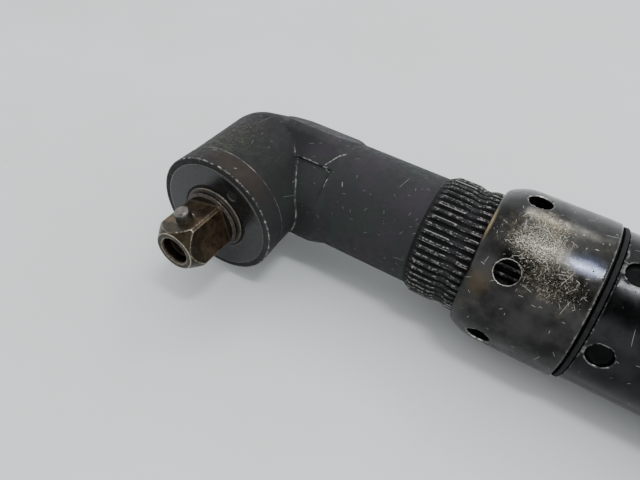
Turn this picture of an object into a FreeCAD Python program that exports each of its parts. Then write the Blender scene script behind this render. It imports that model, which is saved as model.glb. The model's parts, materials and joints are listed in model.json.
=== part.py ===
import FreeCAD, Part
import math
import os
import re
import Sketcher

os.makedirs("parts", exist_ok=True)
doc = FreeCAD.newDocument("AngleNutrunner")

# Two axes cross inside the head: the handle axis along X and the output axis along Y.
# Sizes are in mm from that crossing; axisHeight lifts it above the tip of the square drive.
sizes = {
    "axisHeight": 49.53,
    # head casting
    "barrelBack": 18.5, "barrelBackRadius": 7.65, "coneStart": 2.07, "coneStartRadius": 17.8,
    "barrelRadius": 18.75, "rimRadius": 19.45, "rimFace": 31.4, "bandEnd": 24.4, "bandRadius": 19.15,
    "neckRadius": 16.8, "hexLength": 26.8, "hexCorner": 18.4, "scallopShiftY": 1.543,
    "scallopShiftZ": 1.839, "scallopLength": 25.3, "scallopTop": 67.2,
    "splineStart": 55.5, "splineRadius": 18.45, "splineFoot": 17.2, "splineEnd": 85.5,
    "splineCount": 50, "dipRadius": 17.74, "dipStart": 66.5, "dipEnd": 68.0,
    "collarStart": 88.0, "collarEnd": 89.5, "pilotRadius": 16.95, "headEnd": 94.0,
    "chamberRadius": 15.2, "chamberFloor": 16.3, "discBore": 17.65, "discSeat": 25.55,
    "bearingBore": 16.01, "shaftBore": 14.01, "shaftShoulder": 17.6, "pinionBore": 12.3,
    # spindle and its square drive
    "squareHalf": 6.35, "squareTurn": -15.24, "squareCorner": 8.5, "squareShoulder": 34.1,
    "noseStart": 45.8, "noseRadius": 6.0, "centreHole": 4.14, "centreDepth": 3.0,
    "bossRadius": 10.0, "bossFace": 32.3, "collarRadius": 9.1, "seatRadius": 7.5,
    "gearSeat": 7.0, "journalRadius": 4.0,
    "pinHeight": 42.3, "pinRadius": 2.38, "pinBore": 2.42, "pinTop": 9.23, "pinFoot": 0.3,
    "pinBoreFloor": 4.6, "springRadius": 1.75, "springWire": 0.28,
    "discFace": 31.7, "discBack": 25.6, "discRadius": 17.6, "discHole": 10.4,
    "sealFace": 29.9, "sealPocket": 12.4, "sealBack": 27.0, "spannerDepth": 1.3,
    "spannerHole": 1.4, "spannerCircle": 13.0, "spannerTurn": -58.0,
    # coupling nut
    "nutFace": 72.0, "nutEnd": 102.2, "nutRadius": 22.8, "nutHole": 3.4, "nutHolePlace": 81.38,
    "nutTurn": -8.97, "nutShoulder": 20.1, "threadRadius": 20.5, "nutRound": 13.6,
    "nutRoundEnd": 80.3, "nutBore": 18.6,
    # gear case and planetary gear
    "caseRadius": 21.7, "caseStart": 104.0, "caseEnd": 136.0, "caseTail": 146.0, "tailRadius": 20.0,
    "noseThread": 20.45, "caseBore": 18.45, "caseHole": 3.4, "caseHolePlace": 108.6,
    "caseHoleDepth": 1.9, "caseTurn": 17.5,
    "planetModule": 0.9, "sunTeeth": 12, "ringTeeth": 36, "planetCircle": 10.8,
    "planetStart": 108.2, "planetWidth": 10.0, "planetPin": 2.2, "planetBore": 2.24,
    "carrierRadius": 14.9, "carrierFace": 104.8, "carrierInner": 107.6, "carrierRear": 118.8,
    "carrierEnd": 121.6, "carrierJournal": 9.0, "hexDrive": 5.0,
    # bevel pair
    "couplingStart": 72.2, "couplingEnd": 92.3, "bevelModule": 1.5, "bevelTeeth": 18,
    "pinionTeeth": 14, "shaftRadius": 6.0,
    # vane motor
    "sunStart": 107.9, "sunLength": 11.6, "rotorRadius": 12.0, "rotorStart": 134.2,
    "rotorEnd": 195.8, "rotorSeat": 5.0, "rotorNeck": 6.2, "rotorTail": 206.0,
    "plateBore": 11.0, "plateNeck": 6.6,
    "cylinderBore": 14.0, "cylinderShift": 1.95, "cylinderRadius": 18.4, "vaneHalf": 0.75,
    "vaneFoot": 6.2, "vaneTop": 11.9, "motorRadius": 22.5, "motorStart": 136.3, "motorEnd": 218.0,
    # handle and throttle
    "gripRadius": 19.6, "taperStart": 234.0, "taperEnd": 242.0, "deflectorStart": 322.0,
    "deflectorEnd": 340.0, "deflectorSeat": 18.6, "deflectorRadius": 21.2, "earBase": 14.0,
    "earHalf": 5.5, "earInner": 8.2, "earThick": 4.0,
    "handleStart": 208.5, "handleEnd": 345.0, "passageRadius": 7.0,
    "inletBore": 9.05, "inletEnd": 356.0, "inletThread": 6.0, "valvePlace": 296.0,
    "valveRadius": 4.45, "sleeveBore": 4.5, "sleeveRadius": 6.5, "stemRadius": 2.5,
    "hingeX": 226.0, "hingeY": 26.0, "hingePin": 2.0, "leverHalf": 7.8,
}

sheet = doc.addObject("Spreadsheet::Sheet", "Sizes")
for row, (name, value) in enumerate(sizes.items(), start=1):
    sheet.set("A%d" % row, name)
    sheet.set("B%d" % row, str(value))
    sheet.setAlias("B%d" % row, name)
doc.recompute()

finished = []


def amount(text):
    """Value of a sum of products of size names and numbers."""
    total = 0.0
    for sign, term in re.findall(r"([+-]?)\s*([^+-]+)", str(text)):
        value = 1.0
        for factor in term.split("*"):
            factor = factor.strip()
            value *= sizes[factor] if factor in sizes else float(factor)
        total += -value if sign == "-" else value
    return total


def bind(target, path, text):
    """Tie a property to the sheet with the same sum."""
    target.setExpression(path, re.sub(r"([A-Za-z]\w*)", r"Sizes.\1", str(text)))


def newBody(label, turnAxis=None, turn=None):
    """Body with its own origin on the axis crossing, turned about one axis if asked."""
    body = doc.addObject("PartDesign::Body", label)
    body.Label = label
    angle = amount(turn) if turn else 0.0
    axis = FreeCAD.Vector(*turnAxis) if turnAxis else FreeCAD.Vector(0, 0, 1)
    body.Placement = FreeCAD.Placement(
        FreeCAD.Vector(0, amount("axisHeight"), 0), FreeCAD.Rotation(axis, angle))
    bind(body, "Placement.Base.y", "axisHeight")
    if turn:
        bind(body, "Placement.Rotation.Angle", turn)
    finished.append(body)
    return body


def originPart(body, role):
    for feature in body.Origin.OriginFeatures:
        if feature.Role == role:
            return feature


def newSketch(body, role, offset=None):
    sketch = body.newObject("Sketcher::SketchObject", "sketch")
    sketch.AttachmentSupport = [(originPart(body, role), "")]
    sketch.MapMode = "FlatFace"
    if offset:
        sketch.AttachmentOffset = FreeCAD.Placement(
            FreeCAD.Vector(0, 0, amount(offset)), FreeCAD.Rotation())
        bind(sketch, "AttachmentOffset.Base.z", offset)
    return sketch


def outline(sketch, corners):
    """Closed outline whose corners are tied to the sheet; each corner is (across, up)."""
    spots = [FreeCAD.Vector(amount(c[0]), amount(c[1]), 0) for c in corners]
    count = len(corners)
    for i in range(count):
        sketch.addGeometry(Part.LineSegment(spots[i], spots[(i + 1) % count]), False)
    for i, corner in enumerate(corners):
        sketch.addConstraint(Sketcher.Constraint("Coincident", i, 2, (i + 1) % count, 1))
        for kind, value in (("DistanceX", corner[0]), ("DistanceY", corner[1])):
            number = sketch.addConstraint(
                Sketcher.Constraint(kind, -1, 1, i, 1, amount(value)))
            if re.search("[A-Za-z]", str(value)):
                name = "%s%d" % (kind[-1].lower(), i)
                sketch.renameConstraint(number, name)
                bind(sketch, "Constraints." + name, value)
    return sketch


def traced(sketch, spots):
    """Closed outline through worked-out spots, such as the flanks of teeth."""
    count = len(spots)
    for i in range(count):
        start = FreeCAD.Vector(spots[i][0], spots[i][1], 0)
        end = FreeCAD.Vector(spots[(i + 1) % count][0], spots[(i + 1) % count][1], 0)
        sketch.addGeometry(Part.LineSegment(start, end), False)
    return sketch


def spun(body, axis, corners, kind="PartDesign::Revolution"):
    """Turned solid or turned cut; corners are (along the axis, radius)."""
    sketch = newSketch(body, "XY_Plane")
    if axis == "V_Axis":
        corners = [(c[1], c[0]) for c in corners]
    outline(sketch, corners)
    feature = body.newObject(kind, "turned")
    feature.Profile = sketch
    feature.ReferenceAxis = (sketch, [axis])
    feature.Angle = 360
    body.Tip = feature
    return feature


def cutSpun(body, axis, corners):
    return spun(body, axis, corners, "PartDesign::Groove")


def raised(body, sketch, length, kind="PartDesign::Pad", backward=False, middle=False):
    feature = body.newObject(kind, "raised")
    feature.Profile = sketch
    feature.Length = amount(length)
    bind(feature, "Length", length)
    feature.Reversed = backward
    if middle:
        feature.SideType = "Symmetric"
    body.Tip = feature
    return feature


def circle(sketch, across, up, radius):
    """Round hole or post, tied to the sheet by its centre and radius."""
    index = sketch.addGeometry(
        Part.Circle(FreeCAD.Vector(amount(across), amount(up), 0), FreeCAD.Vector(0, 0, 1),
                    amount(radius)), False)
    items = (("Radius", radius, (index,)), ("DistanceX", across, (-1, 1, index, 3)),
             ("DistanceY", up, (-1, 1, index, 3)))
    for kind, value, where in items:
        number = sketch.addConstraint(Sketcher.Constraint(kind, *where, amount(value)))
        if re.search("[A-Za-z]", str(value)):
            name = "%s%d" % (kind.lower(), index)
            sketch.renameConstraint(number, name)
            bind(sketch, "Constraints." + name, value)
    return sketch


def repeated(body, feature, axisRole, count):
    pattern = body.newObject("PartDesign::PolarPattern", "repeated")
    pattern.Originals = [feature]
    pattern.Axis = (originPart(body, axisRole), [""])
    pattern.Angle = 360
    pattern.Occurrences = int(amount(count))
    body.Tip = pattern
    return pattern


def ringOf(label, axis, start, end, inner, outer, edge="0.3"):
    """Plain ring with small outer edge breaks."""
    body = newBody(label)
    spun(body, axis, [
        (start, inner), (start, outer + "-" + edge), (start + "+" + edge, outer),
        (end + "-" + edge, outer), (end, outer + "-" + edge), (end, inner)])
    return body


def bearing(prefix, axis, start, width, bore, outside, ball, count):
    """Deep-groove bearing: outer ring, inner ring, and balls in their cage."""
    first = -1 if axis == "V_Axis" else 1
    middle = amount(start) + first * amount(width) / 2
    mean = (amount(bore) + amount(outside)) / 2
    ballRadius = amount(ball)
    low = "%s" % (middle - amount(width) / 2)
    high = "%s" % (middle + amount(width) / 2)
    outer = newBody(prefix + "_outer")
    face = "%.3f" % (mean + 0.68 * ballRadius)
    rim = "%.3f" % (amount(outside) - 0.02)
    corner = "%.3f" % (amount(outside) - 0.52)
    spun(outer, axis, [
        (low, face), (low, corner), ("%.3f" % (float(low) + 0.5), rim),
        ("%.3f" % (float(high) - 0.5), rim), (high, corner), (high, face)])
    groove(outer, axis, middle, mean, ballRadius + 0.04)
    inner = newBody(prefix + "_inner")
    hub = "%.3f" % (mean - 0.68 * ballRadius)
    spun(inner, axis, [(low, bore), (low, hub), (high, hub), (high, bore)])
    groove(inner, axis, middle, mean, ballRadius + 0.04)
    balls = newBody(prefix + "_balls")
    cageIn, cageOut = "%.3f" % (mean - 0.32), "%.3f" % (mean + 0.32)
    spun(balls, axis, [
        ("%.3f" % (middle - 0.45 * amount(width)), cageIn),
        ("%.3f" % (middle - 0.45 * amount(width)), cageOut),
        ("%.3f" % (middle + 0.45 * amount(width)), cageOut),
        ("%.3f" % (middle + 0.45 * amount(width)), cageIn)])
    ballFeature = balls.newObject("PartDesign::AdditiveSphere", "ball")
    ballFeature.AttachmentSupport = [(originPart(balls, "XY_Plane"), "")]
    ballFeature.MapMode = "FlatFace"
    ballFeature.Radius = ballRadius
    spot = FreeCAD.Vector(middle, mean, 0) if axis == "H_Axis" else FreeCAD.Vector(mean, middle, 0)
    tilt = FreeCAD.Rotation(FreeCAD.Vector(1, 0, 0), 90)
    if axis == "V_Axis":
        tilt = FreeCAD.Rotation(FreeCAD.Vector(0, 1, 0), 90)
    ballFeature.AttachmentOffset = FreeCAD.Placement(spot, tilt)
    balls.Tip = ballFeature
    repeated(balls, ballFeature, "X_Axis" if axis == "H_Axis" else "Y_Axis", str(count))


def groove(body, axis, middle, mean, radius):
    """Ball track round a bearing ring."""
    sketch = newSketch(body, "XY_Plane")
    if axis == "H_Axis":
        circle(sketch, "%.3f" % middle, "%.3f" % mean, "%.3f" % radius)
    else:
        circle(sketch, "%.3f" % mean, "%.3f" % middle, "%.3f" % radius)
    feature = body.newObject("PartDesign::Groove", "track")
    feature.Profile = sketch
    feature.ReferenceAxis = (sketch, [axis])
    feature.Angle = 360
    body.Tip = feature


def involuteHalf(radius, pitch, base, halfTooth):
    """Half the tooth angle at a radius, for an involute with that base circle."""
    def roll(at):
        angle = math.acos(min(1.0, base / at))
        return math.tan(angle) - angle
    return halfTooth + roll(pitch) - roll(max(radius, base))


def toothOutline(count, module, pressure, tip, foot, play, phase):
    """Corners of a spur gear with involute flanks, play taken off each flank."""
    pitch = module * count / 2
    base = pitch * math.cos(math.radians(pressure))
    halfTooth = math.pi / (2 * count) - play / pitch
    steps = 5
    spots = []
    for tooth in range(count):
        centre = phase + tooth * 2 * math.pi / count
        flank = []
        for step in range(steps + 1):
            radius = foot + (tip - foot) * step / steps
            flank.append((radius, involuteHalf(radius, pitch, base, halfTooth)))
        for radius, half in flank:
            spots.append((radius * math.cos(centre - half), radius * math.sin(centre - half)))
        for radius, half in reversed(flank):
            spots.append((radius * math.cos(centre + half), radius * math.sin(centre + half)))
    return spots


def bevelOutline(count, mate, module, play, phase, scale):
    """Bevel tooth outline in a plane square to the axis, shrinking to the axis crossing."""
    cone = math.atan(count / mate)
    pitch = module * count / 2
    reach = module * mate / 2
    backPitch = pitch / math.cos(cone)
    base = backPitch * math.cos(math.radians(20))
    halfTooth = math.pi * module / (4 * backPitch) - play / backPitch
    levels = [-1.25, -0.8, -0.4, 0.0, 0.35, 0.7, 1.0]
    spots = []
    for tooth in range(count):
        centre = phase + tooth * 2 * math.pi / count
        flank = []
        for level in levels:
            back = backPitch + level * module
            radius = back * math.cos(cone)
            along = reach + (pitch - radius) * math.tan(cone)
            half = involuteHalf(back, backPitch, base, halfTooth) / math.cos(cone)
            flank.append((scale * radius * reach / along, half))
        for radius, half in flank:
            spots.append((radius * math.cos(centre - half), radius * math.sin(centre - half)))
        for radius, half in reversed(flank):
            spots.append((radius * math.cos(centre + half), radius * math.sin(centre + half)))
    return spots


def makeHead():
    """Head casting: neck, serrations, hexagon, barrel with its cone, and the bores."""
    body = newBody("angle_head_housing")
    spun(body, "H_Axis", [
        ("0", "0"), ("0", "16.1"), ("4", "neckRadius"), ("splineEnd", "neckRadius"),
        ("splineEnd", "17"), ("collarStart", "17"), ("collarStart", "hexCorner"),
        ("collarEnd", "hexCorner"), ("collarEnd", "pilotRadius"),
        ("headEnd-0.5", "pilotRadius"), ("headEnd", "pilotRadius-0.5"), ("headEnd", "0")])
    serrations = newSketch(body, "YZ_Plane", "splineStart")
    spots = []
    count = int(amount("splineCount"))
    for tooth in range(count):
        for part, radius in ((0.0, "splineFoot"), (0.36, "splineRadius"), (0.64, "splineRadius")):
            angle = 2 * math.pi * (tooth + part + 0.15) / count
            spots.append((amount(radius) * math.cos(angle), amount(radius) * math.sin(angle)))
    traced(serrations, spots)
    raised(body, serrations, "splineEnd-splineStart")
    cutSpun(body, "H_Axis", [
        ("splineStart-0.5", "neckRadius+0.01"), ("splineStart", "neckRadius+0.01"),
        ("58.2", "18.35"), ("64.6", "18.35"), ("dipStart", "dipRadius"), ("dipEnd", "dipRadius"),
        ("69.3", "splineRadius"), ("69.3", "22"), ("splineStart-0.5", "22")])
    flats = newSketch(body, "YZ_Plane")
    corner = (amount("neckRadius") + 0.03) / math.cos(math.radians(30))
    traced(flats, [(corner * math.cos(math.radians(30 + 60 * k)),
                    corner * math.sin(math.radians(30 + 60 * k))) for k in range(6)])
    raised(body, flats, "hexLength")
    cutSpun(body, "H_Axis", [
        ("-1", "16.2"), ("4.6", "hexCorner"), ("25.2", "hexCorner"), ("hexLength", "neckRadius+0.01"),
        ("hexLength+1", "neckRadius+0.01"), ("hexLength+1", "22"), ("-1", "22")])
    scallop = newSketch(body, "YZ_Plane")
    traced(scallop, scallopSpots())
    raised(body, scallop, "scallopLength", "PartDesign::Pocket", backward=True)
    spun(body, "V_Axis", [
        ("-rimFace", "0"), ("-rimFace", "rimRadius-0.25"), ("-rimFace+0.25", "rimRadius"),
        ("-bandEnd", "bandRadius"), ("-bandEnd+0.25", "bandRadius-0.08"), ("-1.2", "barrelRadius"),
        ("0.7", "18.4"), ("coneStart", "coneStartRadius"), ("barrelBack-0.7", "barrelBackRadius+0.43"),
        ("barrelBack", "barrelBackRadius-0.5"), ("barrelBack", "0")])
    cutSpun(body, "V_Axis", [
        ("-rimFace-1", "0"), ("-rimFace-1", "discBore+0.55"), ("-rimFace", "discBore+0.55"),
        ("-rimFace+0.6", "discBore"), ("-discSeat", "discBore"), ("-discSeat", "bearingBore"),
        ("-chamberFloor", "bearingBore"), ("-chamberFloor", "chamberRadius"),
        ("0.5", "chamberRadius"), ("6.5", "9.5"), ("7.9", "9.5"), ("7.9", "6.01"),
        ("16", "6.01"), ("16", "0")])
    cutSpun(body, "H_Axis", [
        ("8.3", "0"), ("8.3", "pinionBore"), ("shaftShoulder", "pinionBore"),
        ("shaftShoulder", "shaftBore"), ("headEnd-0.4", "shaftBore"), ("headEnd", "shaftBore+0.4"),
        ("headEnd+1", "shaftBore+0.4"), ("headEnd+1", "0")])


def scallopSpots():
    """Smooth relief that takes one corner off the hexagon."""
    radius = amount("neckRadius")
    spots = []
    steps = 14
    top = amount("scallopTop")
    for step in range(steps + 1):
        around = math.radians(-8 + (top + 8) * step / steps)
        spots.append((-radius * math.cos(around) - amount("scallopShiftY"),
                      radius * math.sin(around) - amount("scallopShiftZ")))
    last = spots[-1]
    length = math.hypot(*last)
    spots.append((last[0] * 24 / length, last[1] * 24 / length))
    spots.append((-24.0, 14.0))
    first = spots[0]
    length = math.hypot(*first)
    spots.append((first[0] * 24 / length, first[1] * 24 / length))
    return spots


def makeSpindleNut():
    """Threaded ring that holds the spindle bearing, with two spanner holes."""
    body = newBody("spindle_retaining_nut", (0, 1, 0), "spannerTurn")
    spun(body, "V_Axis", [
        ("-discFace", "discHole+0.3"), ("-discFace", "discRadius-0.3"),
        ("-discFace+0.3", "discRadius"), ("-discBack", "discRadius"),
        ("-discBack", "14.2"), ("-discBack-0.8", "14.2"), ("-discBack-0.8", "sealPocket"),
        ("-sealFace", "sealPocket"), ("-sealFace", "discHole"), ("-discFace+0.3", "discHole")])
    holes = newSketch(body, "XZ_Plane", "discFace")
    circle(holes, "spannerCircle", "0", "spannerHole")
    circle(holes, "-spannerCircle", "0", "spannerHole")
    raised(body, holes, "spannerDepth", "PartDesign::Pocket")


def makeSpindle():
    """Output spindle: square drive, boss, bearing seat, gear seat and upper journal."""
    body = newBody("drive_spindle", (0, 1, 0), "squareTurn")
    spun(body, "V_Axis", [
        ("-squareShoulder", "0"), ("-squareShoulder", "collarRadius-0.5"),
        ("-squareShoulder+0.6", "collarRadius"), ("-bossFace", "collarRadius"),
        ("-bossFace", "bossRadius-0.3"), ("-bossFace+0.3", "bossRadius"), ("-25.5", "bossRadius"),
        ("-25.5", "seatRadius"), ("-16.45", "seatRadius"), ("-16.45", "gearSeat"),
        ("-7.6", "gearSeat"), ("-7.6", "journalRadius+1"), ("-6.6", "journalRadius"),
        ("15.1", "journalRadius"), ("15.5", "journalRadius-0.4"), ("15.5", "0")])
    square = newSketch(body, "XZ_Plane", "squareShoulder-0.5")
    outline(square, [
        ("squareHalf", "-squareHalf"), ("squareHalf", "squareHalf"),
        ("-squareHalf", "squareHalf"), ("-squareHalf", "-squareHalf")])
    raised(body, square, "axisHeight-squareShoulder+0.5")
    cutSpun(body, "V_Axis", [
        ("-axisHeight-1", "noseRadius"), ("-axisHeight", "noseRadius"),
        ("-noseStart", "squareCorner"), ("-squareShoulder-0.02", "squareCorner"),
        ("-squareShoulder-0.02", "12"), ("-axisHeight-1", "12")])
    cutSpun(body, "V_Axis", [
        ("-axisHeight-1", "0"), ("-axisHeight-1", "centreHole+0.4"), ("-axisHeight", "centreHole+0.4"),
        ("-axisHeight+0.4", "centreHole"), ("-axisHeight+centreDepth", "centreHole-0.4"),
        ("-axisHeight+centreDepth+0.6", "0")])
    hole = newSketch(body, "XY_Plane", "-pinBoreFloor")
    circle(hole, "0", "-pinHeight", "pinBore")
    raised(body, hole, "pinBoreFloor+squareHalf+1", "PartDesign::Pocket", backward=True)


def makeRetainer():
    """Sprung pin that holds a socket on the square, and the spring under it."""
    body = newBody("socket_retainer_pin", (0, 1, 0), "squareTurn")
    profile = newSketch(body, "XY_Plane", "pinFoot")
    circle(profile, "0", "-pinHeight", "pinRadius")
    raised(body, profile, "pinTop-pinFoot-0.55")
    top = newSketch(body, "XY_Plane", "pinTop-0.56")
    circle(top, "0", "-pinHeight", "pinRadius")
    cap = raised(body, top, "0.56")
    cap.TaperAngle = -35
    coil("socket_retainer_spring", "XY", (0.0, -amount("pinHeight"), -amount("pinBoreFloor") + 0.3),
         amount("springRadius"), amount("springWire"), 4.3, 5, ((0, 1, 0), "squareTurn"))


def coil(label, plane, foot, radius, wire, height, turns, turn=None):
    """Round-wire compression spring standing on its foot along Z or Y."""
    body = newBody(label, *turn) if turn else newBody(label)
    section = body.newObject("Sketcher::SketchObject", "wire")
    if plane == "XY":
        section.AttachmentSupport = [(originPart(body, "XZ_Plane"), "")]
        section.MapMode = "FlatFace"
        section.AttachmentOffset = FreeCAD.Placement(
            FreeCAD.Vector(foot[0], foot[2], -foot[1]), FreeCAD.Rotation())
    else:
        section.AttachmentSupport = [(originPart(body, "XY_Plane"), "")]
        section.MapMode = "FlatFace"
        section.AttachmentOffset = FreeCAD.Placement(
            FreeCAD.Vector(foot[0], foot[1], foot[2]), FreeCAD.Rotation())
    circle(section, "%.3f" % radius, "0", "%.3f" % wire)
    helix = body.newObject("PartDesign::AdditiveHelix", "coils")
    helix.Profile = section
    helix.ReferenceAxis = (section, ["V_Axis"])
    helix.Mode = "height-turns-angle"
    helix.Height = height
    helix.Turns = turns
    body.Tip = helix


def makeBevelGear():
    """Large bevel gear keyed on the spindle."""
    body = newBody("bevel_gear")
    teeth, mate, module = amount("bevelTeeth"), amount("pinionTeeth"), amount("bevelModule")
    reach = module * mate / 2
    ends = []
    for scale in (1.15, 0.60):
        sketch = newSketch(body, "XZ_Plane", "%.4f" % (reach * scale))
        traced(sketch, bevelOutline(int(teeth), int(mate), module, 0.05,
                                    math.pi / teeth, scale))
        ends.append(sketch)
    loft = body.newObject("PartDesign::AdditiveLoft", "teeth")
    loft.Profile = ends[0]
    loft.Sections = [ends[1]]
    loft.Ruled = True
    body.Tip = loft
    cutSpun(body, "V_Axis", [
        ("-9.317", "14.42"), ("-11.98", "12.35"), ("-13.2", "11.4"), ("-13.2", "20"), ("-5", "20"),
        ("-5", "17.77")])
    cutSpun(body, "V_Axis", [
        ("-8.95", "7.3"), ("-4.46", "13.1"), ("-4.46", "0"), ("-8.95", "0")])
    spun(body, "V_Axis", [
        ("-16.4", "gearSeat"), ("-16.4", "9.6"), ("-14", "9.6"), ("-11.6", "12.2"),
        ("-9.6", "9.0"), ("-9.6", "gearSeat")])
    cutSpun(body, "V_Axis", [
        ("-18", "0"), ("-18", "gearSeat+0.02"), ("-4", "gearSeat+0.02"), ("-4", "0")])


def makePinion():
    """Bevel pinion in one piece with its shaft, with a hexagon at the far end."""
    body = newBody("bevel_pinion")
    teeth, mate, module = amount("pinionTeeth"), amount("bevelTeeth"), amount("bevelModule")
    reach = module * mate / 2
    ends = []
    for scale in (1.10, 0.62):
        sketch = newSketch(body, "YZ_Plane", "%.4f" % (reach * scale))
        traced(sketch, bevelOutline(int(teeth), int(mate), module, 0.05, math.pi, scale))
        ends.append(sketch)
    loft = body.newObject("PartDesign::AdditiveLoft", "teeth")
    loft.Profile = ends[0]
    loft.Sections = [ends[1]]
    loft.Ruled = True
    body.Tip = loft
    cutSpun(body, "H_Axis", [
        ("12.58", "11.68"), ("14.65", "9.02"), ("15.4", "8.05"), ("15.4", "18"), ("7.7", "18"),
        ("7.7", "17.95")])
    cutSpun(body, "H_Axis", [
        ("9.93", "6.12"), ("7.47", "9.28"), ("7.47", "0"), ("9.93", "0")])
    spun(body, "H_Axis", [
        ("9.9", "0"), ("9.9", "5.6"), ("14.4", "8.8"), ("15.2", "8"), ("17.95", "8"),
        ("17.95", "shaftRadius"), ("72", "shaftRadius"), ("72", "0")])
    hexEnd(body, "71.9", "9")


def hexEnd(body, start, length):
    """Hexagon end that sits in the shaft coupling."""
    sketch = newSketch(body, "YZ_Plane", start)
    traced(sketch, hexSpots(amount("hexDrive")))
    raised(body, sketch, length)


def hexSpots(half):
    corner = half / math.cos(math.radians(30))
    return [(corner * math.cos(math.radians(60 * k)), corner * math.sin(math.radians(60 * k)))
            for k in range(6)]


def makeShaftParts():
    """Sleeve between the pinion bearings, their retaining ring, and the hexagon coupling."""
    ringOf("pinion_bearing_sleeve", "H_Axis", "26.05", "49.95", "shaftRadius+0.01", "8.2")
    body = ringOf("pinion_bearing_retainer", "H_Axis", "58.2", "62.2", "9", "shaftBore-0.02")
    slots = newSketch(body, "XY_Plane")
    outline(slots, [("61", "8"), ("63", "8"), ("63", "15"), ("61", "15")])
    slot = raised(body, slots, "3", "PartDesign::Pocket", middle=True)
    repeated(body, slot, "X_Axis", "2")
    coupling = ringOf("shaft_coupling", "H_Axis", "couplingStart", "couplingEnd", "0", "9")
    hole = newSketch(coupling, "YZ_Plane", "couplingStart-1")
    traced(hole, hexSpots(amount("hexDrive") + 0.02))
    raised(coupling, hole, "25", "PartDesign::Pocket", backward=True)


def makeNut():
    """Coupling nut with a rounded nose and six spanner holes."""
    body = newBody("coupling_nut", (1, 0, 0), "nutTurn")
    rounded = []
    for step in range(8):
        back = 7.9 * (7 - step) / 7
        drop = amount("nutRound") - math.sqrt(amount("nutRound") ** 2 - back ** 2)
        rounded.append(("nutRoundEnd-%.3f" % back, "nutRadius-%.3f" % drop))
    spun(body, "H_Axis", [
        ("nutFace", "nutBore"), ("nutFace", "19.9")] + rounded + [
        ("nutEnd-0.6", "nutRadius"), ("nutEnd", "nutRadius-0.5"),
        ("nutEnd", "threadRadius"), ("88.6", "threadRadius"), ("88.6", "nutShoulder"),
        ("splineEnd", "nutShoulder"), ("splineEnd", "nutBore")])
    hole = newSketch(body, "XY_Plane")
    circle(hole, "nutHolePlace", "0", "nutHole")
    cut = raised(body, hole, "30", "PartDesign::Pocket", backward=True)
    repeated(body, cut, "X_Axis", "6")


def makeSplitRing():
    """Ring in the head's groove that the coupling nut pulls on, split at one side."""
    body = newBody("coupling_split_ring")
    spun(body, "H_Axis", [
        ("splineEnd+0.05", "17.03"), ("splineEnd+0.05", "19.9"), ("collarStart-0.05", "19.9"),
        ("collarStart-0.05", "17.03")])
    gap = newSketch(body, "XY_Plane")
    outline(gap, [("84", "15"), ("90", "15"), ("90", "22"), ("84", "22")])
    raised(body, gap, "1.6", "PartDesign::Pocket", middle=True)


def makeGearCase():
    """Gear case with six blind spanner holes behind the seal ring."""
    body = newBody("gear_case", (1, 0, 0), "caseTurn")
    spun(body, "H_Axis", [
        ("collarEnd+0.05", "pilotRadius+0.05"), ("collarEnd+0.05", "20"), ("90", "noseThread"),
        ("caseStart", "noseThread"), ("caseStart", "caseRadius-0.3"),
        ("caseStart+0.25", "caseRadius"), ("caseEnd-0.3", "caseRadius"),
        ("caseEnd", "caseRadius-0.3"), ("caseEnd", "tailRadius"), ("caseTail", "tailRadius"),
        ("caseTail", "caseBore"), ("carrierFace-0.4", "caseBore"), ("carrierFace-0.4", "shaftBore"),
        ("94.4", "shaftBore"), ("94.4", "pilotRadius+0.05")])
    hole = newSketch(body, "XY_Plane", "caseRadius-caseHoleDepth")
    circle(hole, "caseHolePlace", "0", "caseHole")
    cut = raised(body, hole, "5", "PartDesign::Pocket", backward=True)
    repeated(body, cut, "X_Axis", "6")


def makePlanetary():
    """Ring gear, three planets on pins, the carrier and its bushing."""
    module = amount("planetModule")
    ring = newBody("ring_gear")
    spun(ring, "H_Axis", [
        ("107.8", "12"), ("107.8", "cylinderRadius"), ("118.9", "cylinderRadius"), ("118.9", "12")])
    cutter = newSketch(ring, "YZ_Plane", "107")
    count = int(amount("ringTeeth"))
    pitch = module * count / 2
    traced(cutter, toothOutline(count, module, 25, pitch + 1.2 * module, pitch - 0.8 / 0.9 * module,
                                -0.06, math.pi / count))
    raised(ring, cutter, "13", "PartDesign::Pocket", backward=True)
    for number in range(3):
        makePlanet(number, module)
    carrier = newBody("planet_carrier")
    spun(carrier, "H_Axis", [
        ("92.5", "0"), ("92.5", "carrierJournal-3"), ("94.6", "carrierJournal-3"),
        ("94.6", "carrierJournal"), ("carrierFace", "carrierJournal"),
        ("carrierFace", "carrierRadius"), ("carrierInner", "carrierRadius"), ("carrierInner", "0")])
    hexEnd(carrier, "82.5", "10.1")
    posts = newSketch(carrier, "YZ_Plane", "carrierInner-0.1")
    for number in range(3):
        angle = math.radians(30 + 120 * number)
        circle(posts, "%.4f" % (12.8 * math.cos(angle)), "%.4f" % (12.8 * math.sin(angle)), "1.9")
    raised(carrier, posts, "carrierRear-carrierInner+0.2")
    spun(carrier, "H_Axis", [
        ("carrierRear", "7.2"), ("carrierRear", "carrierRadius"), ("carrierEnd", "carrierRadius"),
        ("carrierEnd", "7.2")])
    holes = newSketch(carrier, "YZ_Plane", "carrierFace-1")
    for number in range(3):
        angle = math.radians(90 + 120 * number)
        circle(holes, "%.4f" % (amount("planetCircle") * math.cos(angle)),
               "%.4f" % (amount("planetCircle") * math.sin(angle)), "planetPin+0.02")
    raised(carrier, holes, "20", "PartDesign::Pocket", backward=True)
    ringOf("carrier_bushing", "H_Axis", "94.7", "104.3", "carrierJournal+0.04", "shaftBore-0.02")


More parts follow.
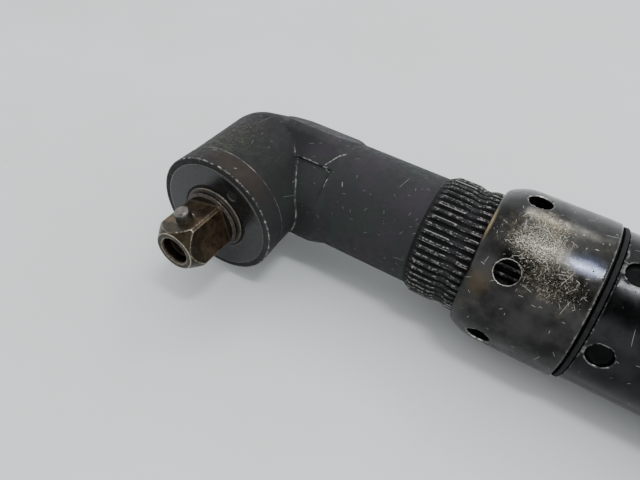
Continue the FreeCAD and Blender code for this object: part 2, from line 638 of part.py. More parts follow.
def makePlanet(number, module):
    """One planet gear and the pin it turns on."""
    angle = math.radians(90 + 120 * number)
    across = amount("planetCircle") * math.cos(angle)
    up = amount("planetCircle") * math.sin(angle)
    body = newBody("planet_gear_%d" % (number + 1))
    count = int(amount("sunTeeth"))
    pitch = module * count / 2
    sketch = newSketch(body, "YZ_Plane", "planetStart")
    spots = toothOutline(count, module, 25, pitch + module, pitch - 1.25 * module, 0.06,
                         math.pi / count)
    traced(sketch, [(across + y, up + z) for y, z in spots])
    raised(body, sketch, "planetWidth")
    bore = newSketch(body, "YZ_Plane", "planetStart-1")
    circle(bore, "%.4f" % across, "%.4f" % up, "planetBore")
    raised(body, bore, "planetWidth+2", "PartDesign::Pocket", backward=True)
    pin = newBody("planet_pin_%d" % (number + 1))
    post = newSketch(pin, "YZ_Plane", "carrierFace+0.2")
    circle(post, "%.4f" % across, "%.4f" % up, "planetPin")
    raised(pin, post, "carrierEnd-carrierFace-0.4")


def makeRotor():
    """Slotted rotor with the sun pinion on its front end, and five vanes."""
    body = newBody("rotor")
    spun(body, "H_Axis", [
        ("sunStart", "0"), ("sunStart", "3.9"), ("119.4", "3.9"), ("119.4", "4.2"), ("124.1", "4.2"),
        ("124.1", "rotorSeat"), ("133", "rotorSeat"), ("133", "rotorNeck"),
        ("rotorStart", "rotorNeck"), ("rotorStart", "rotorRadius"), ("rotorEnd", "rotorRadius"),
        ("rotorEnd", "rotorNeck"), ("198.5", "rotorNeck"), ("198.5", "rotorSeat"),
        ("rotorTail", "rotorSeat"), ("rotorTail", "0")])
    module = amount("planetModule")
    count = int(amount("sunTeeth"))
    pitch = module * count / 2
    sun = newSketch(body, "YZ_Plane", "sunStart")
    traced(sun, toothOutline(count, module, 25, pitch + module, pitch - 1.25 * module, 0.06, 0.0))
    raised(body, sun, "sunLength")
    slot = newSketch(body, "YZ_Plane", "rotorStart-0.1")
    outline(slot, [
        ("-vaneHalf-0.03", "vaneFoot-0.1"), ("vaneHalf+0.03", "vaneFoot-0.1"),
        ("vaneHalf+0.03", "rotorRadius+1"), ("-vaneHalf-0.03", "rotorRadius+1")])
    cut = raised(body, slot, "rotorEnd-rotorStart+0.2", "PartDesign::Pocket", backward=True)
    repeated(body, cut, "X_Axis", "5")
    for number in range(5):
        vane = newBody("rotor_vane_%d" % (number + 1), (1, 0, 0), None)
        vane.Placement.Rotation = FreeCAD.Rotation(FreeCAD.Vector(1, 0, 0), 72.0 * number)
        blade = newSketch(vane, "YZ_Plane", "rotorStart+0.1")
        outline(blade, [
            ("-vaneHalf", "vaneFoot"), ("vaneHalf", "vaneFoot"), ("vaneHalf", "vaneTop"),
            ("-vaneHalf", "vaneTop")])
        raised(vane, blade, "rotorEnd-rotorStart-0.2")


def makeMotor():
    """Cylinder with its offset bore and ports, both end plates, and the motor housing."""
    body = newBody("motor_cylinder")
    spun(body, "H_Axis", [
        ("rotorStart-0.15", "0"), ("rotorStart-0.15", "cylinderRadius"),
        ("rotorEnd+0.15", "cylinderRadius"), ("rotorEnd+0.15", "0")])
    bore = newSketch(body, "YZ_Plane", "133")
    circle(bore, "cylinderShift", "0", "cylinderBore")
    raised(body, bore, "64", "PartDesign::Pocket", backward=True)
    for place in (150, 160, 170, 180):
        port = newSketch(body, "XY_Plane")
        circle(port, str(place), "2", "2.2")
        raised(body, port, "20", "PartDesign::Pocket", backward=True)
    front = newBody("front_end_plate")
    spun(front, "H_Axis", [
        ("124", "plateBore"), ("124", "cylinderRadius"), ("134", "cylinderRadius"),
        ("134", "plateNeck"), ("131.2", "plateNeck"), ("131.2", "plateBore")])
    rear = newBody("rear_end_plate")
    spun(rear, "H_Axis", [
        ("196", "plateNeck"), ("196", "cylinderRadius"), ("206.4", "cylinderRadius"),
        ("206.4", "plateBore"), ("199", "plateBore"), ("199", "plateNeck")])
    housing = newBody("motor_housing")
    spun(housing, "H_Axis", [
        ("motorStart", "tailRadius+0.03"), ("motorStart", "motorRadius-0.6"),
        ("motorStart+0.6", "motorRadius"), ("motorEnd-0.6", "motorRadius"),
        ("motorEnd", "motorRadius-0.6"), ("motorEnd", "tailRadius+0.03"),
        ("handleStart", "tailRadius+0.03"), ("handleStart", "caseBore"), ("caseTail+0.1", "caseBore"),
        ("caseTail+0.1", "tailRadius+0.03")])


def makeHandle():
    """Handle with the lever ears, the valve bore and the air way."""
    body = newBody("handle")
    spun(body, "H_Axis", [
        ("handleStart+0.1", "passageRadius"), ("handleStart+0.1", "tailRadius"),
        ("motorEnd+0.2", "tailRadius"), ("motorEnd+0.2", "motorRadius-0.5"),
        ("motorEnd+0.7", "motorRadius"), ("taperStart", "motorRadius"), ("taperEnd", "gripRadius"),
        ("deflectorStart", "gripRadius"), ("deflectorStart", "deflectorSeat"),
        ("deflectorEnd", "deflectorSeat"), ("deflectorEnd", "gripRadius"),
        ("handleEnd-1", "gripRadius"), ("handleEnd", "gripRadius-1"), ("handleEnd", "inletBore"),
        ("320", "inletBore"), ("320", "passageRadius")])
    for side in ("-earInner-earThick", "earInner"):
        ear = newSketch(body, "XY_Plane", side)
        outline(ear, [
            ("hingeX-earHalf", "earBase"), ("hingeX-earHalf", "hingeY+1.5"),
            ("hingeX-earHalf+2", "hingeY+4.8"), ("hingeX+earHalf-2", "hingeY+4.8"),
            ("hingeX+earHalf", "hingeY+1.5"), ("hingeX+earHalf", "earBase")])
        raised(body, ear, "earThick")
    cross = newSketch(body, "XY_Plane", "-13")
    circle(cross, "hingeX", "hingeY", "hingePin+0.01")
    raised(body, cross, "26", "PartDesign::Pocket", backward=True)
    well = newSketch(body, "XZ_Plane", "16.5")
    circle(well, "valvePlace", "0", "sleeveRadius+0.02")
    raised(body, well, "40", "PartDesign::Pocket")
    ringOf("exhaust_deflector", "H_Axis", "deflectorStart+0.1", "deflectorEnd-0.1",
           "deflectorSeat+0.05", "deflectorRadius")
    slots = newSketch(finished[-1], "XY_Plane")
    outline(slots, [("326", "10"), ("336", "10"), ("336", "24"), ("326", "24")])
    cut = raised(finished[-1], slots, "3", "PartDesign::Pocket", middle=True)
    repeated(finished[-1], cut, "X_Axis", "4")


def makeThrottle():
    """Throttle lever on its pin, the valve with its sleeve, cap and spring."""
    lever = newBody("throttle_lever")
    side = newSketch(lever, "XY_Plane")
    outline(side, [
        ("hingeX-4", "hingeY"), ("hingeX+1", "hingeY-3"), ("valvePlace", "27.4"), ("312", "28.4"),
        ("317", "30.6"), ("316", "33.2"), ("310", "31.4"), ("hingeX+1", "hingeY+4.2"),
        ("hingeX-3", "hingeY+3")])
    raised(lever, side, "2*leverHalf", middle=True)
    eye = newSketch(lever, "XY_Plane", "-leverHalf-1")
    circle(eye, "hingeX", "hingeY", "hingePin+0.04")
    raised(lever, eye, "2*leverHalf+2", "PartDesign::Pocket", backward=True)
    pin = newBody("lever_pin")
    rod = newSketch(pin, "XY_Plane", "-12.1")
    circle(rod, "hingeX", "hingeY", "hingePin")
    raised(pin, rod, "24.2")
    valve = newBody("throttle_valve")
    foot = newSketch(valve, "XZ_Plane", "7")
    circle(foot, "valvePlace", "0", "valveRadius")
    raised(valve, foot, "4.5", backward=True)
    waist = newSketch(valve, "XZ_Plane", "7")
    circle(waist, "valvePlace", "0", "stemRadius")
    raised(valve, waist, "33.95", backward=True)
    head = newSketch(valve, "XZ_Plane", "-5")
    circle(head, "valvePlace", "0", "valveRadius")
    raised(valve, head, "4.5", backward=True)
    sleeve = newBody("valve_sleeve")
    tube = newSketch(sleeve, "XZ_Plane", "16.4")
    circle(tube, "valvePlace", "0", "sleeveRadius")
    raised(sleeve, tube, "31.2", backward=True)
    hollow = newSketch(sleeve, "XZ_Plane", "15.4")
    circle(hollow, "valvePlace", "0", "sleeveBore")
    raised(sleeve, hollow, "32", "PartDesign::Pocket")
    way = newSketch(sleeve, "YZ_Plane", "valvePlace-10")
    circle(way, "0", "0", "2.4")
    raised(sleeve, way, "20", "PartDesign::Pocket", backward=True)
    cap = newBody("valve_cap")
    disc = newSketch(cap, "XZ_Plane", "-14.9")
    circle(disc, "valvePlace", "0", "sleeveRadius")
    raised(cap, disc, "4.3", backward=True)
    eye = newSketch(cap, "XZ_Plane", "-14")
    circle(eye, "valvePlace", "0", "stemRadius+0.04")
    raised(cap, eye, "6", "PartDesign::Pocket")
    coil("valve_spring", "XZ", (amount("valvePlace"), -15.0, 0.0), 3.4, 0.4, 7.4, 4)


def makeInlet():
    """Hexagon inlet bushing and the screen inside it."""
    body = newBody("air_inlet_bushing")
    spun(body, "H_Axis", [
        ("328", "4.5"), ("328", "inletBore-0.03"), ("handleEnd+0.05", "inletBore-0.03"),
        ("handleEnd+0.05", "12.9"), ("inletEnd-0.8", "12.9"), ("inletEnd", "12.1"),
        ("inletEnd", "inletThread+0.4"), ("inletEnd-0.4", "inletThread"),
        ("inletEnd-14", "inletThread"), ("inletEnd-14.8", "4.5")])
    around = newSketch(body, "YZ_Plane", "handleEnd+1.2")
    traced(around, [(20 * math.cos(math.radians(60 * k)), 20 * math.sin(math.radians(60 * k)))
                    for k in range(6)])
    traced(around, hexSpots(11.5))
    raised(body, around, "15", "PartDesign::Pocket", backward=True)
    screen = newBody("inlet_screen")
    spun(screen, "H_Axis", [
        ("321", "0"), ("321", "inletBore-0.05"), ("327.8", "inletBore-0.05"), ("327.8", "7.6"),
        ("322.4", "7.6"), ("322.4", "0")])
    mesh = newSketch(screen, "YZ_Plane", "320")
    for ring, count in ((0.0, 1), (2.6, 6), (5.2, 12)):
        for number in range(count):
            angle = 2 * math.pi * number / count
            circle(mesh, "%.4f" % (ring * math.cos(angle)), "%.4f" % (ring * math.sin(angle)), "0.8")
    raised(screen, mesh, "4", "PartDesign::Pocket", backward=True)


makeHead()
makeSpindleNut()
ringOf("spindle_seal", "V_Axis", "-sealFace+0.05", "-sealBack", "bossRadius+0.05", "sealPocket-0.02")
makeSpindle()
makeRetainer()
makeBevelGear()
makePinion()
makeShaftParts()
bearing("spindle_bearing", "V_Axis", "-16.5", "9", "seatRadius+0.01", "bearingBore", "3", 9)
bearing("pinion_front_bearing", "H_Axis", "18", "8", "shaftRadius+0.01", "shaftBore", "2.3", 8)
bearing("pinion_rear_bearing", "H_Axis", "50", "8", "shaftRadius+0.01", "shaftBore", "2.3", 8)
ringOf("upper_bushing", "V_Axis", "8", "15.9", "journalRadius+0.04", "5.97", "0.3")
makeNut()
makeSplitRing()
ringOf("coupling_seal_ring", "H_Axis", "102.8", "caseStart-0.02", "noseThread+0.03", "22.2", "0.25")
makeGearCase()
makePlanetary()
makeRotor()
makeMotor()
bearing("rotor_front_bearing", "H_Axis", "124.1", "7", "rotorSeat+0.01", "11", "1.8", 8)
bearing("rotor_rear_bearing", "H_Axis", "199.1", "7", "rotorSeat+0.01", "11", "1.8", 8)
makeHandle()
makeThrottle()
makeInlet()

doc.recompute()
faults = []
for item in doc.Objects:
    if any(word in item.State for word in ("Invalid", "Error")):
        faults.append("%s (%s): %s" % (item.Name, item.Label, item.State))
for body in finished:
    if body.Shape.isNull() or not body.Shape.isValid():
        faults.append("%s has no sound shape" % body.Label)
if faults:
    raise RuntimeError("; ".join(faults))
for body in finished:
    body.Shape.exportStep("parts/%s.step" % body.Label)
    print(body.Label, round(body.Shape.Volume, 1), len(body.Shape.Solids))
print("written", len(finished), "parts")
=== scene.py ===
import json
import math

import bpy
import numpy as np
from mathutils import Matrix, Vector


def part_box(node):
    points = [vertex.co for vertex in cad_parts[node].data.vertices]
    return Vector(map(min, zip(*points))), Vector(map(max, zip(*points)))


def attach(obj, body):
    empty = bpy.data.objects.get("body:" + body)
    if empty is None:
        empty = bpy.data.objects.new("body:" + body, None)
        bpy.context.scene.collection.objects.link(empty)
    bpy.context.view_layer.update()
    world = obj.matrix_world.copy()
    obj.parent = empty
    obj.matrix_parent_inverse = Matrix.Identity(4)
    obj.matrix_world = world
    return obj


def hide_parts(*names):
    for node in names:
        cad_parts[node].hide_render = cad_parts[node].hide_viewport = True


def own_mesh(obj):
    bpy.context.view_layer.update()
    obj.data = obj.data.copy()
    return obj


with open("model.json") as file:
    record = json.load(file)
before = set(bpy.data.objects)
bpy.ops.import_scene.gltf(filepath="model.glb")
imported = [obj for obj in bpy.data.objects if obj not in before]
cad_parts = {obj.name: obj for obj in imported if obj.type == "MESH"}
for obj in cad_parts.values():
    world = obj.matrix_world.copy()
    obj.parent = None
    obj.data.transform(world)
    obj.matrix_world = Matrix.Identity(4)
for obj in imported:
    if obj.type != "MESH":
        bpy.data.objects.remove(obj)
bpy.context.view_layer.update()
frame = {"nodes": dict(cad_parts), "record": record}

mm = 0.001
handleUnroll, headUnroll = 21.0, 19.0  # radii in mm at which the surfaces are unrolled
record = frame["record"]
nutLow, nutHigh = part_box("coupling_nut")
axisY = (nutLow[1] + nutHigh[1]) / 2  # height of the handle's axis over the tip of the drive
nutRadius = (nutHigh[1] - nutLow[1]) / 2


studio = {
    "cameraPlace": (84.017, -74.191, 113.403),
    "cameraTurn": (45.1945, -3.9095, 31.4668),
    "lens": 31.232,
    "floorColour": (0.625, 0.645, 0.63),
    "floorPatch": (0.66, 0.665, 0.66),
    "skyColour": (0.80, 0.83, 0.86),
    "skyStrength": 1.80,
    "shadeDirection": (0.0, -0.64, 0.77), "shadeWide": 27, "shadeNarrow": 11, "shadeStrength": 0.10,
    "lamps": {
        "windowLight": {"place": (0.05, 0.80, 0.85), "aim": (0.08, 0.04, 0), "size": (0.25, 0.25),
                        "power": 2.0, "colour": (1.0, 0.99, 0.96)},
        "ceilingLight": {"place": (0.19, -0.03, 0.64), "aim": (0.14, 0.04, 0), "size": (0.16, 0.05),
                         "power": 1.7, "colour": (0.93, 0.96, 1.0)},
    },
}


def clearSelection():
    if bpy.context.object and bpy.context.object.mode != "OBJECT":
        bpy.ops.object.mode_set(mode="OBJECT")
    bpy.ops.object.select_all(action="DESELECT")


def pick(piece):
    clearSelection()
    piece.select_set(True)
    bpy.context.view_layer.objects.active = piece


def makeCamera():
    place = [v * mm for v in studio["cameraPlace"]]
    turn = [math.radians(v) for v in studio["cameraTurn"]]
    bpy.ops.object.camera_add(location=place, rotation=turn)
    camera = bpy.context.object
    camera.name = "studioCamera"
    camera.data.sensor_width = 36
    camera.data.lens = studio["lens"]
    camera.data.clip_start = 0.005
    bpy.context.scene.camera = camera


def areaLight(name, values):
    bpy.ops.object.light_add(type="AREA", location=values["place"])
    lamp = bpy.context.object
    lamp.name = name
    direction = Vector(values["aim"]) - Vector(values["place"])
    lamp.rotation_euler = direction.to_track_quat("-Z", "Y").to_euler()
    lamp.data.shape = "RECTANGLE"
    lamp.data.size, lamp.data.size_y = values["size"]
    lamp.data.energy = values["power"]
    lamp.data.color = values["colour"]


def makeStudio():
    clearSelection()
    bpy.ops.mesh.primitive_plane_add(size=6, location=(0.1, 0.05, -nutRadius))
    floor = bpy.context.object
    floor.name = "floor"
    world = bpy.data.worlds.new("softRoom")
    world.use_nodes = True
    nodes, links = world.node_tree.nodes, world.node_tree.links
    background = nodes["Background"]
    direction = nodes.new("ShaderNodeTexCoord").outputs["Generated"]
    facing = nodes.new("ShaderNodeVectorMath")
    facing.operation = "DOT_PRODUCT"
    facing.inputs[1].default_value = Vector(studio["shadeDirection"]).normalized()
    links.new(direction, facing.inputs[0])
    shade = nodes.new("ShaderNodeMapRange")
    shade.interpolation_type = "SMOOTHSTEP"
    shade.inputs["From Min"].default_value = math.cos(math.radians(studio["shadeWide"]))
    shade.inputs["From Max"].default_value = math.cos(math.radians(studio["shadeNarrow"]))
    shade.inputs["To Min"].default_value = studio["skyStrength"]
    shade.inputs["To Max"].default_value = studio["shadeStrength"]
    links.new(facing.outputs["Value"], shade.inputs["Value"])
    background.inputs["Color"].default_value = studio["skyColour"] + (1,)
    links.new(shade.outputs["Result"], background.inputs["Strength"])
    bpy.context.scene.world = world
    for name, values in studio["lamps"].items():
        areaLight(name, values)


makeCamera()
makeStudio()
print("studio ready")


def outlineArc(centre, radius, start, end, count):
    spots = []
    for step in range(count + 1):
        angle = math.radians(start + (end - start) * step / count)
        spots.append((centre[0] + radius * math.cos(angle), centre[1] + radius * math.sin(angle)))
    return spots


def finer(outline, longest):
    spots = [outline[0]]
    for spot in outline[1:]:
        last = spots[-1]
        count = max(1, math.ceil(math.dist(last, spot) / longest))
        for step in range(1, count + 1):
            spots.append((last[0] + (spot[0] - last[0]) * step / count,
                          last[1] + (spot[1] - last[1]) * step / count))
    return spots


def lathe(name, axis, outline, steps=128, longest=None):
    if longest:
        outline = finer(outline, longest)
    clearSelection()
    bpy.ops.mesh.primitive_plane_add(size=mm, location=(0, 0, 0))
    piece = bpy.context.object
    piece.name = piece.data.name = name
    bpy.ops.object.mode_set(mode="EDIT")
    bpy.ops.mesh.select_mode(type="VERT")
    bpy.ops.mesh.select_all(action="SELECT")
    bpy.ops.mesh.merge(type="CENTER")
    places = []
    for along, radius in outline:
        if axis == "X":
            places.append(Vector((along * mm, axisY + radius * mm, 0)))
        else:
            places.append(Vector((radius * mm, axisY + along * mm, 0)))
    bpy.ops.transform.translate(value=places[0])
    for here, there in zip(places, places[1:]):
        bpy.ops.mesh.extrude_vertices_move(TRANSFORM_OT_translate={"value": there - here})
    bpy.ops.mesh.select_all(action="SELECT")
    turnAxis = (1, 0, 0) if axis == "X" else (0, 1, 0)
    bpy.ops.mesh.spin(steps=steps, angle=math.tau, center=(0, axisY, 0), axis=turnAxis)
    bpy.ops.mesh.select_all(action="SELECT")
    bpy.ops.mesh.remove_doubles(threshold=1e-7)
    bpy.ops.mesh.normals_make_consistent(inside=False)
    bpy.ops.object.mode_set(mode="OBJECT")
    return piece


def rod(name, start, end, radius, mouth=0.0, flare=0.0, sides=48):
    clearSelection()
    start, end = Vector(start), Vector(end)
    length = (end - start).length
    bpy.ops.mesh.primitive_cylinder_add(vertices=sides, radius=radius * mm, depth=length,
                                        location=(0, 0, 0))
    piece = bpy.context.object
    piece.name = name
    if flare:
        bpy.ops.object.mode_set(mode="EDIT")
        bpy.ops.mesh.select_all(action="DESELECT")
        bpy.ops.object.mode_set(mode="OBJECT")
        for face in piece.data.polygons:
            face.select = face.normal.z > 0.9
        bpy.ops.object.mode_set(mode="EDIT")
        bpy.ops.mesh.select_mode(type="FACE")
        bpy.ops.transform.translate(value=(0, 0, -mouth * mm))
        bpy.ops.mesh.extrude_region_move(TRANSFORM_OT_translate={"value": (0, 0, mouth * mm)})
        grown = (radius + flare) / radius
        bpy.ops.transform.resize(value=(grown, grown, 1))
        bpy.ops.object.mode_set(mode="OBJECT")
    turn = (end - start).to_track_quat("Z", "Y").to_matrix().to_4x4()
    piece.data.transform(Matrix.Translation((start + end) / 2) @ turn)
    return piece


def carve(piece, tool, operation="DIFFERENCE"):
    pick(piece)
    cut = piece.modifiers.new("carve", "BOOLEAN")
    cut.operation = operation
    cut.object = tool
    cut.solver = "EXACT"
    bpy.ops.object.modifier_apply(modifier=cut.name)
    bpy.data.objects.remove(tool, do_unlink=True)


def joined(parts, name):
    clearSelection()
    for part in parts:
        part.select_set(True)
    bpy.context.view_layer.objects.active = parts[0]
    bpy.ops.object.join()
    piece = bpy.context.object
    piece.name = piece.data.name = name
    return piece


def settle(piece, voxel, rounds=2, factor=0.5):
    pick(piece)
    grid = piece.modifiers.new("grid", "REMESH")
    grid.mode = "VOXEL"
    grid.voxel_size = voxel * mm
    bpy.ops.object.modifier_apply(modifier=grid.name)
    smooth = piece.modifiers.new("smooth", "SMOOTH")
    smooth.factor = factor
    smooth.iterations = rounds
    bpy.ops.object.modifier_apply(modifier=smooth.name)


def trueUp(piece, axis, outer, reach=0.14):
    # puts the points near the turned surface exactly on it, so that reflections run straight
    mesh = piece.data
    spots = np.empty(len(mesh.vertices) * 3)
    mesh.vertices.foreach_get("co", spots)
    spots = spots.reshape(-1, 3)
    spots[:, 1] -= axisY
    ahead, side = (0, 1) if axis == "X" else (1, 0)
    along = spots[:, ahead]
    radius = np.hypot(spots[:, side], spots[:, 2])
    wanted = np.interp(along, [x * mm for x, r in outer], [r * mm for x, r in outer])
    near = (along > outer[0][0] * mm) & (along < outer[-1][0] * mm) & (np.abs(radius - wanted) < reach * mm)
    grown = wanted[near] / radius[near]
    spots[near, side] *= grown
    spots[near, 2] *= grown
    spots[:, 1] += axisY
    mesh.vertices.foreach_set("co", spots.reshape(-1))
    mesh.update()


def markEdges(piece, sharpness, rounds=2):
    mesh = piece.data
    count = len(mesh.vertices)
    place = np.empty(count * 3)
    mesh.vertices.foreach_get("co", place)
    place = place.reshape(-1, 3)
    normal = np.empty(count * 3)
    mesh.vertices.foreach_get("normal", normal)
    normal = normal.reshape(-1, 3)
    ends = np.empty(len(mesh.edges) * 2, dtype=np.int64)
    mesh.edges.foreach_get("vertices", ends)
    ends = ends.reshape(-1, 2)
    first, second = ends[:, 0], ends[:, 1]
    step = place[second] - place[first]
    square = np.maximum((step ** 2).sum(1), 1e-14)
    bend = np.zeros(count)
    share = np.zeros(count)
    np.add.at(bend, first, -2 * (normal[first] * step).sum(1) / square)
    np.add.at(bend, second, 2 * (normal[second] * step).sum(1) / square)
    np.add.at(share, first, 1)
    np.add.at(share, second, 1)
    bend /= np.maximum(share, 1)
    for _ in range(rounds):
        total = bend.copy()
        np.add.at(total, first, bend[second])
        np.add.at(total, second, bend[first])
        bend = total / (share + 1)
    value = np.clip(bend * sharpness * mm, -1, 1)
    attribute = mesh.attributes.new("edge", "FLOAT", "POINT")
    attribute.data.foreach_set("value", value.astype(np.float32))


def finish(piece, body, nodes, material, smoothAngle=None):
    pick(piece)
    bpy.ops.object.mode_set(mode="EDIT")
    bpy.ops.mesh.select_all(action="SELECT")
    bpy.ops.mesh.normals_make_consistent(inside=False)
    bpy.ops.object.mode_set(mode="OBJECT")
    if smoothAngle:
        bpy.ops.object.shade_smooth_by_angle(angle=math.radians(smoothAngle))
    else:
        bpy.ops.object.shade_smooth()
    piece.data.materials.clear()
    piece.data.materials.append(material)
    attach(piece, body)
    if nodes:
        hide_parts(*nodes)
    print("made", piece.name, len(piece.data.polygons))


def add(tree, kind, links=None, **settings):
    node = tree.nodes.new(kind)
    for key, value in settings.items():
        setattr(node, key, value)
    for key, value in (links or {}).items():
        if isinstance(value, bpy.types.NodeSocket):
            tree.links.new(value, node.inputs[key])
        else:
            node.inputs[key].default_value = value
    return node


def calc(tree, operation, first, second=0.0, clamp=False):
    node = add(tree, "ShaderNodeMath", {0: first, 1: second}, operation=operation)
    node.use_clamp = clamp
    return node.outputs[0]


def vectorCalc(tree, operation, first, second):
    return add(tree, "ShaderNodeVectorMath", {0: first, 1: second}, operation=operation).outputs


def plus(tree, first, second, clamp=False):
    return calc(tree, "ADD", first, second, clamp)


def minus(tree, first, second):
    return calc(tree, "SUBTRACT", first, second)


def times(tree, first, second):
    return calc(tree, "MULTIPLY", first, second)


def most(tree, first, second):
    return calc(tree, "MAXIMUM", first, second)


def span(tree, value, low, high, toLow=0.0, toHigh=1.0):
    node = add(tree, "ShaderNodeMapRange",
               {"Value": value, "From Min": low, "From Max": high, "To Min": toLow, "To Max": toHigh},
               interpolation_type="SMOOTHSTEP")
    return node.outputs["Result"]


def blendColour(tree, factor, first, second):
    node = tree.nodes.new("ShaderNodeMix")
    node.data_type = "RGBA"
    for index, value in ((0, factor), (6, first), (7, second)):
        if isinstance(value, bpy.types.NodeSocket):
            tree.links.new(value, node.inputs[index])
        elif index == 0:
            node.inputs[index].default_value = value
        else:
            node.inputs[index].default_value = tuple(value) + (1,)
    return node.outputs[2]


def blendValue(tree, factor, first, second):
    node = add(tree, "ShaderNodeMix", {0: factor, 2: first, 3: second})
    return node.outputs[0]


def noise(tree, vector, scale, detail=3.0, roughness=0.55, distortion=0.0):
    node = add(tree, "ShaderNodeTexNoise",
               {"Vector": vector, "Scale": scale, "Detail": detail, "Roughness": roughness,
                "Distortion": distortion})
    return node.outputs["Fac"]


def newGroup(name, inputs, outputs):
    tree = bpy.data.node_groups.new(name, "ShaderNodeTree")
    for label, kind, value in inputs:
        socket = tree.interface.new_socket(name=label, in_out="INPUT", socket_type=kind)
        if value is not None:
            socket.default_value = value
    for label, kind in outputs:
        tree.interface.new_socket(name=label, in_out="OUTPUT", socket_type=kind)
    return tree, tree.nodes.new("NodeGroupInput").outputs, tree.nodes.new("NodeGroupOutput").inputs


def place(tree, group, links=None):
    node = add(tree, "ShaderNodeGroup", node_tree=bpy.data.node_groups[group])
    for key, value in (links or {}).items():
        if isinstance(value, bpy.types.NodeSocket):
            tree.links.new(value, node.inputs[key])
        else:
            node.inputs[key].default_value = value
    return node.outputs


def placeOnPiece(tree):
    # object coordinates in mm, plain and unrolled about each axis
    spot = add(tree, "ShaderNodeTexCoord").outputs["Object"]
    centred = vectorCalc(tree, "SUBTRACT", spot, (0, axisY, 0))[0]
    scaled = add(tree, "ShaderNodeVectorMath", {0: centred, "Scale": 1000.0}, operation="SCALE").outputs[0]
    x, y, z = add(tree, "ShaderNodeSeparateXYZ", {0: scaled}).outputs
    around = calc(tree, "ARCTAN2", z, times(tree, y, -1.0))
    headAround = calc(tree, "ARCTAN2", z, x)
    unrolled = add(tree, "ShaderNodeCombineXYZ", {0: x, 1: times(tree, around, handleUnroll)})
    headUnrolled = add(tree, "ShaderNodeCombineXYZ", {0: times(tree, headAround, headUnroll), 1: y})
    yy, zz, xx = (times(tree, v, v) for v in (y, z, x))
    return {
        "Place": scaled, "Unrolled Handle": unrolled.outputs[0], "Unrolled Head": headUnrolled.outputs[0],
        "Along Handle": x, "Along Head": y,
        "Radius Handle": calc(tree, "SQRT", plus(tree, yy, zz)),
        "Radius Head": calc(tree, "SQRT", plus(tree, xx, zz)),
    }


def makeEdgeGroup():
    # rubbed edges, and dirt with painted shade in hollow corners, from how the surface bends
    tree, source, result = newGroup("edgeWear", [
        ("Place", "NodeSocketVector", None), ("Start", "NodeSocketFloat", 0.12),
        ("Full", "NodeSocketFloat", 0.45), ("Ragged", "NodeSocketFloat", 0.35),
        ("Grain", "NodeSocketFloat", 1.3)],
        [("Worn", "NodeSocketFloat"), ("DirtAndShade", "NodeSocketFloat")])
    bend = add(tree, "ShaderNodeAttribute", attribute_name="edge").outputs["Fac"]
    rough = noise(tree, source["Place"], source["Grain"], 5.0, 0.65)
    shift = times(tree, minus(tree, rough, 0.5), source["Ragged"])
    moved = plus(tree, bend, times(tree, shift, 2.0))
    tree.links.new(span(tree, moved, source["Start"], source["Full"]), result["Worn"])
    # painted shade: hollow corners are darkened together with their dirt
    hollow = times(tree, plus(tree, bend, shift), -1.0)
    tree.links.new(span(tree, hollow, source["Start"], source["Full"]), result["DirtAndShade"])


def makeScratchGroup():
    # one short straight scratch in each cell, turned at random
    tree, source, result = newGroup("scratches", [
        ("Vector", "NodeSocketVector", None), ("Cells", "NodeSocketFloat", 0.3),
        ("Length", "NodeSocketFloat", 1.2), ("Width", "NodeSocketFloat", 0.05),
        ("Turn", "NodeSocketFloat", 0.0), ("Spread", "NodeSocketFloat", 1.0),
        ("Share", "NodeSocketFloat", 0.6)],
        [("Mask", "NodeSocketFloat")])
    wobble = add(tree, "ShaderNodeTexNoise", {"Vector": source["Vector"], "Scale": 0.12, "Detail": 0.0})
    soft = add(tree, "ShaderNodeVectorMath", {0: wobble.outputs["Color"], "Scale": 0.6}, operation="SCALE")
    bent = vectorCalc(tree, "ADD", source["Vector"], soft.outputs[0])[0]
    cell = add(tree, "ShaderNodeTexVoronoi", {"Vector": bent, "Scale": source["Cells"]},
               voronoi_dimensions="2D", feature="F1")
    offset = vectorCalc(tree, "SUBTRACT", bent, cell.outputs["Position"])[0]
    x, y, _ = add(tree, "ShaderNodeSeparateXYZ", {0: offset}).outputs
    chance, lengthChance, third = add(tree, "ShaderNodeSeparateColor", {0: cell.outputs["Color"]}).outputs
    turn = plus(tree, source["Turn"], times(tree, minus(tree, chance, 0.5),
                                            times(tree, source["Spread"], math.pi)))
    cosine, sine = calc(tree, "COSINE", turn), calc(tree, "SINE", turn)
    along = plus(tree, times(tree, x, cosine), times(tree, y, sine))
    across = minus(tree, times(tree, y, cosine), times(tree, x, sine))
    reach = times(tree, source["Length"], span(tree, lengthChance, 0.0, 1.0, 0.35, 1.0))
    ends = span(tree, calc(tree, "DIVIDE", calc(tree, "ABSOLUTE", along), reach), 0.6, 1.0, 1.0, 0.0)
    sides = span(tree, calc(tree, "DIVIDE", calc(tree, "ABSOLUTE", across), source["Width"]),
                 0.4, 1.0, 1.0, 0.0)
    kept = calc(tree, "LESS_THAN", third, source["Share"])
    mask = times(tree, times(tree, ends, sides), kept)
    tree.links.new(mask, result["Mask"])


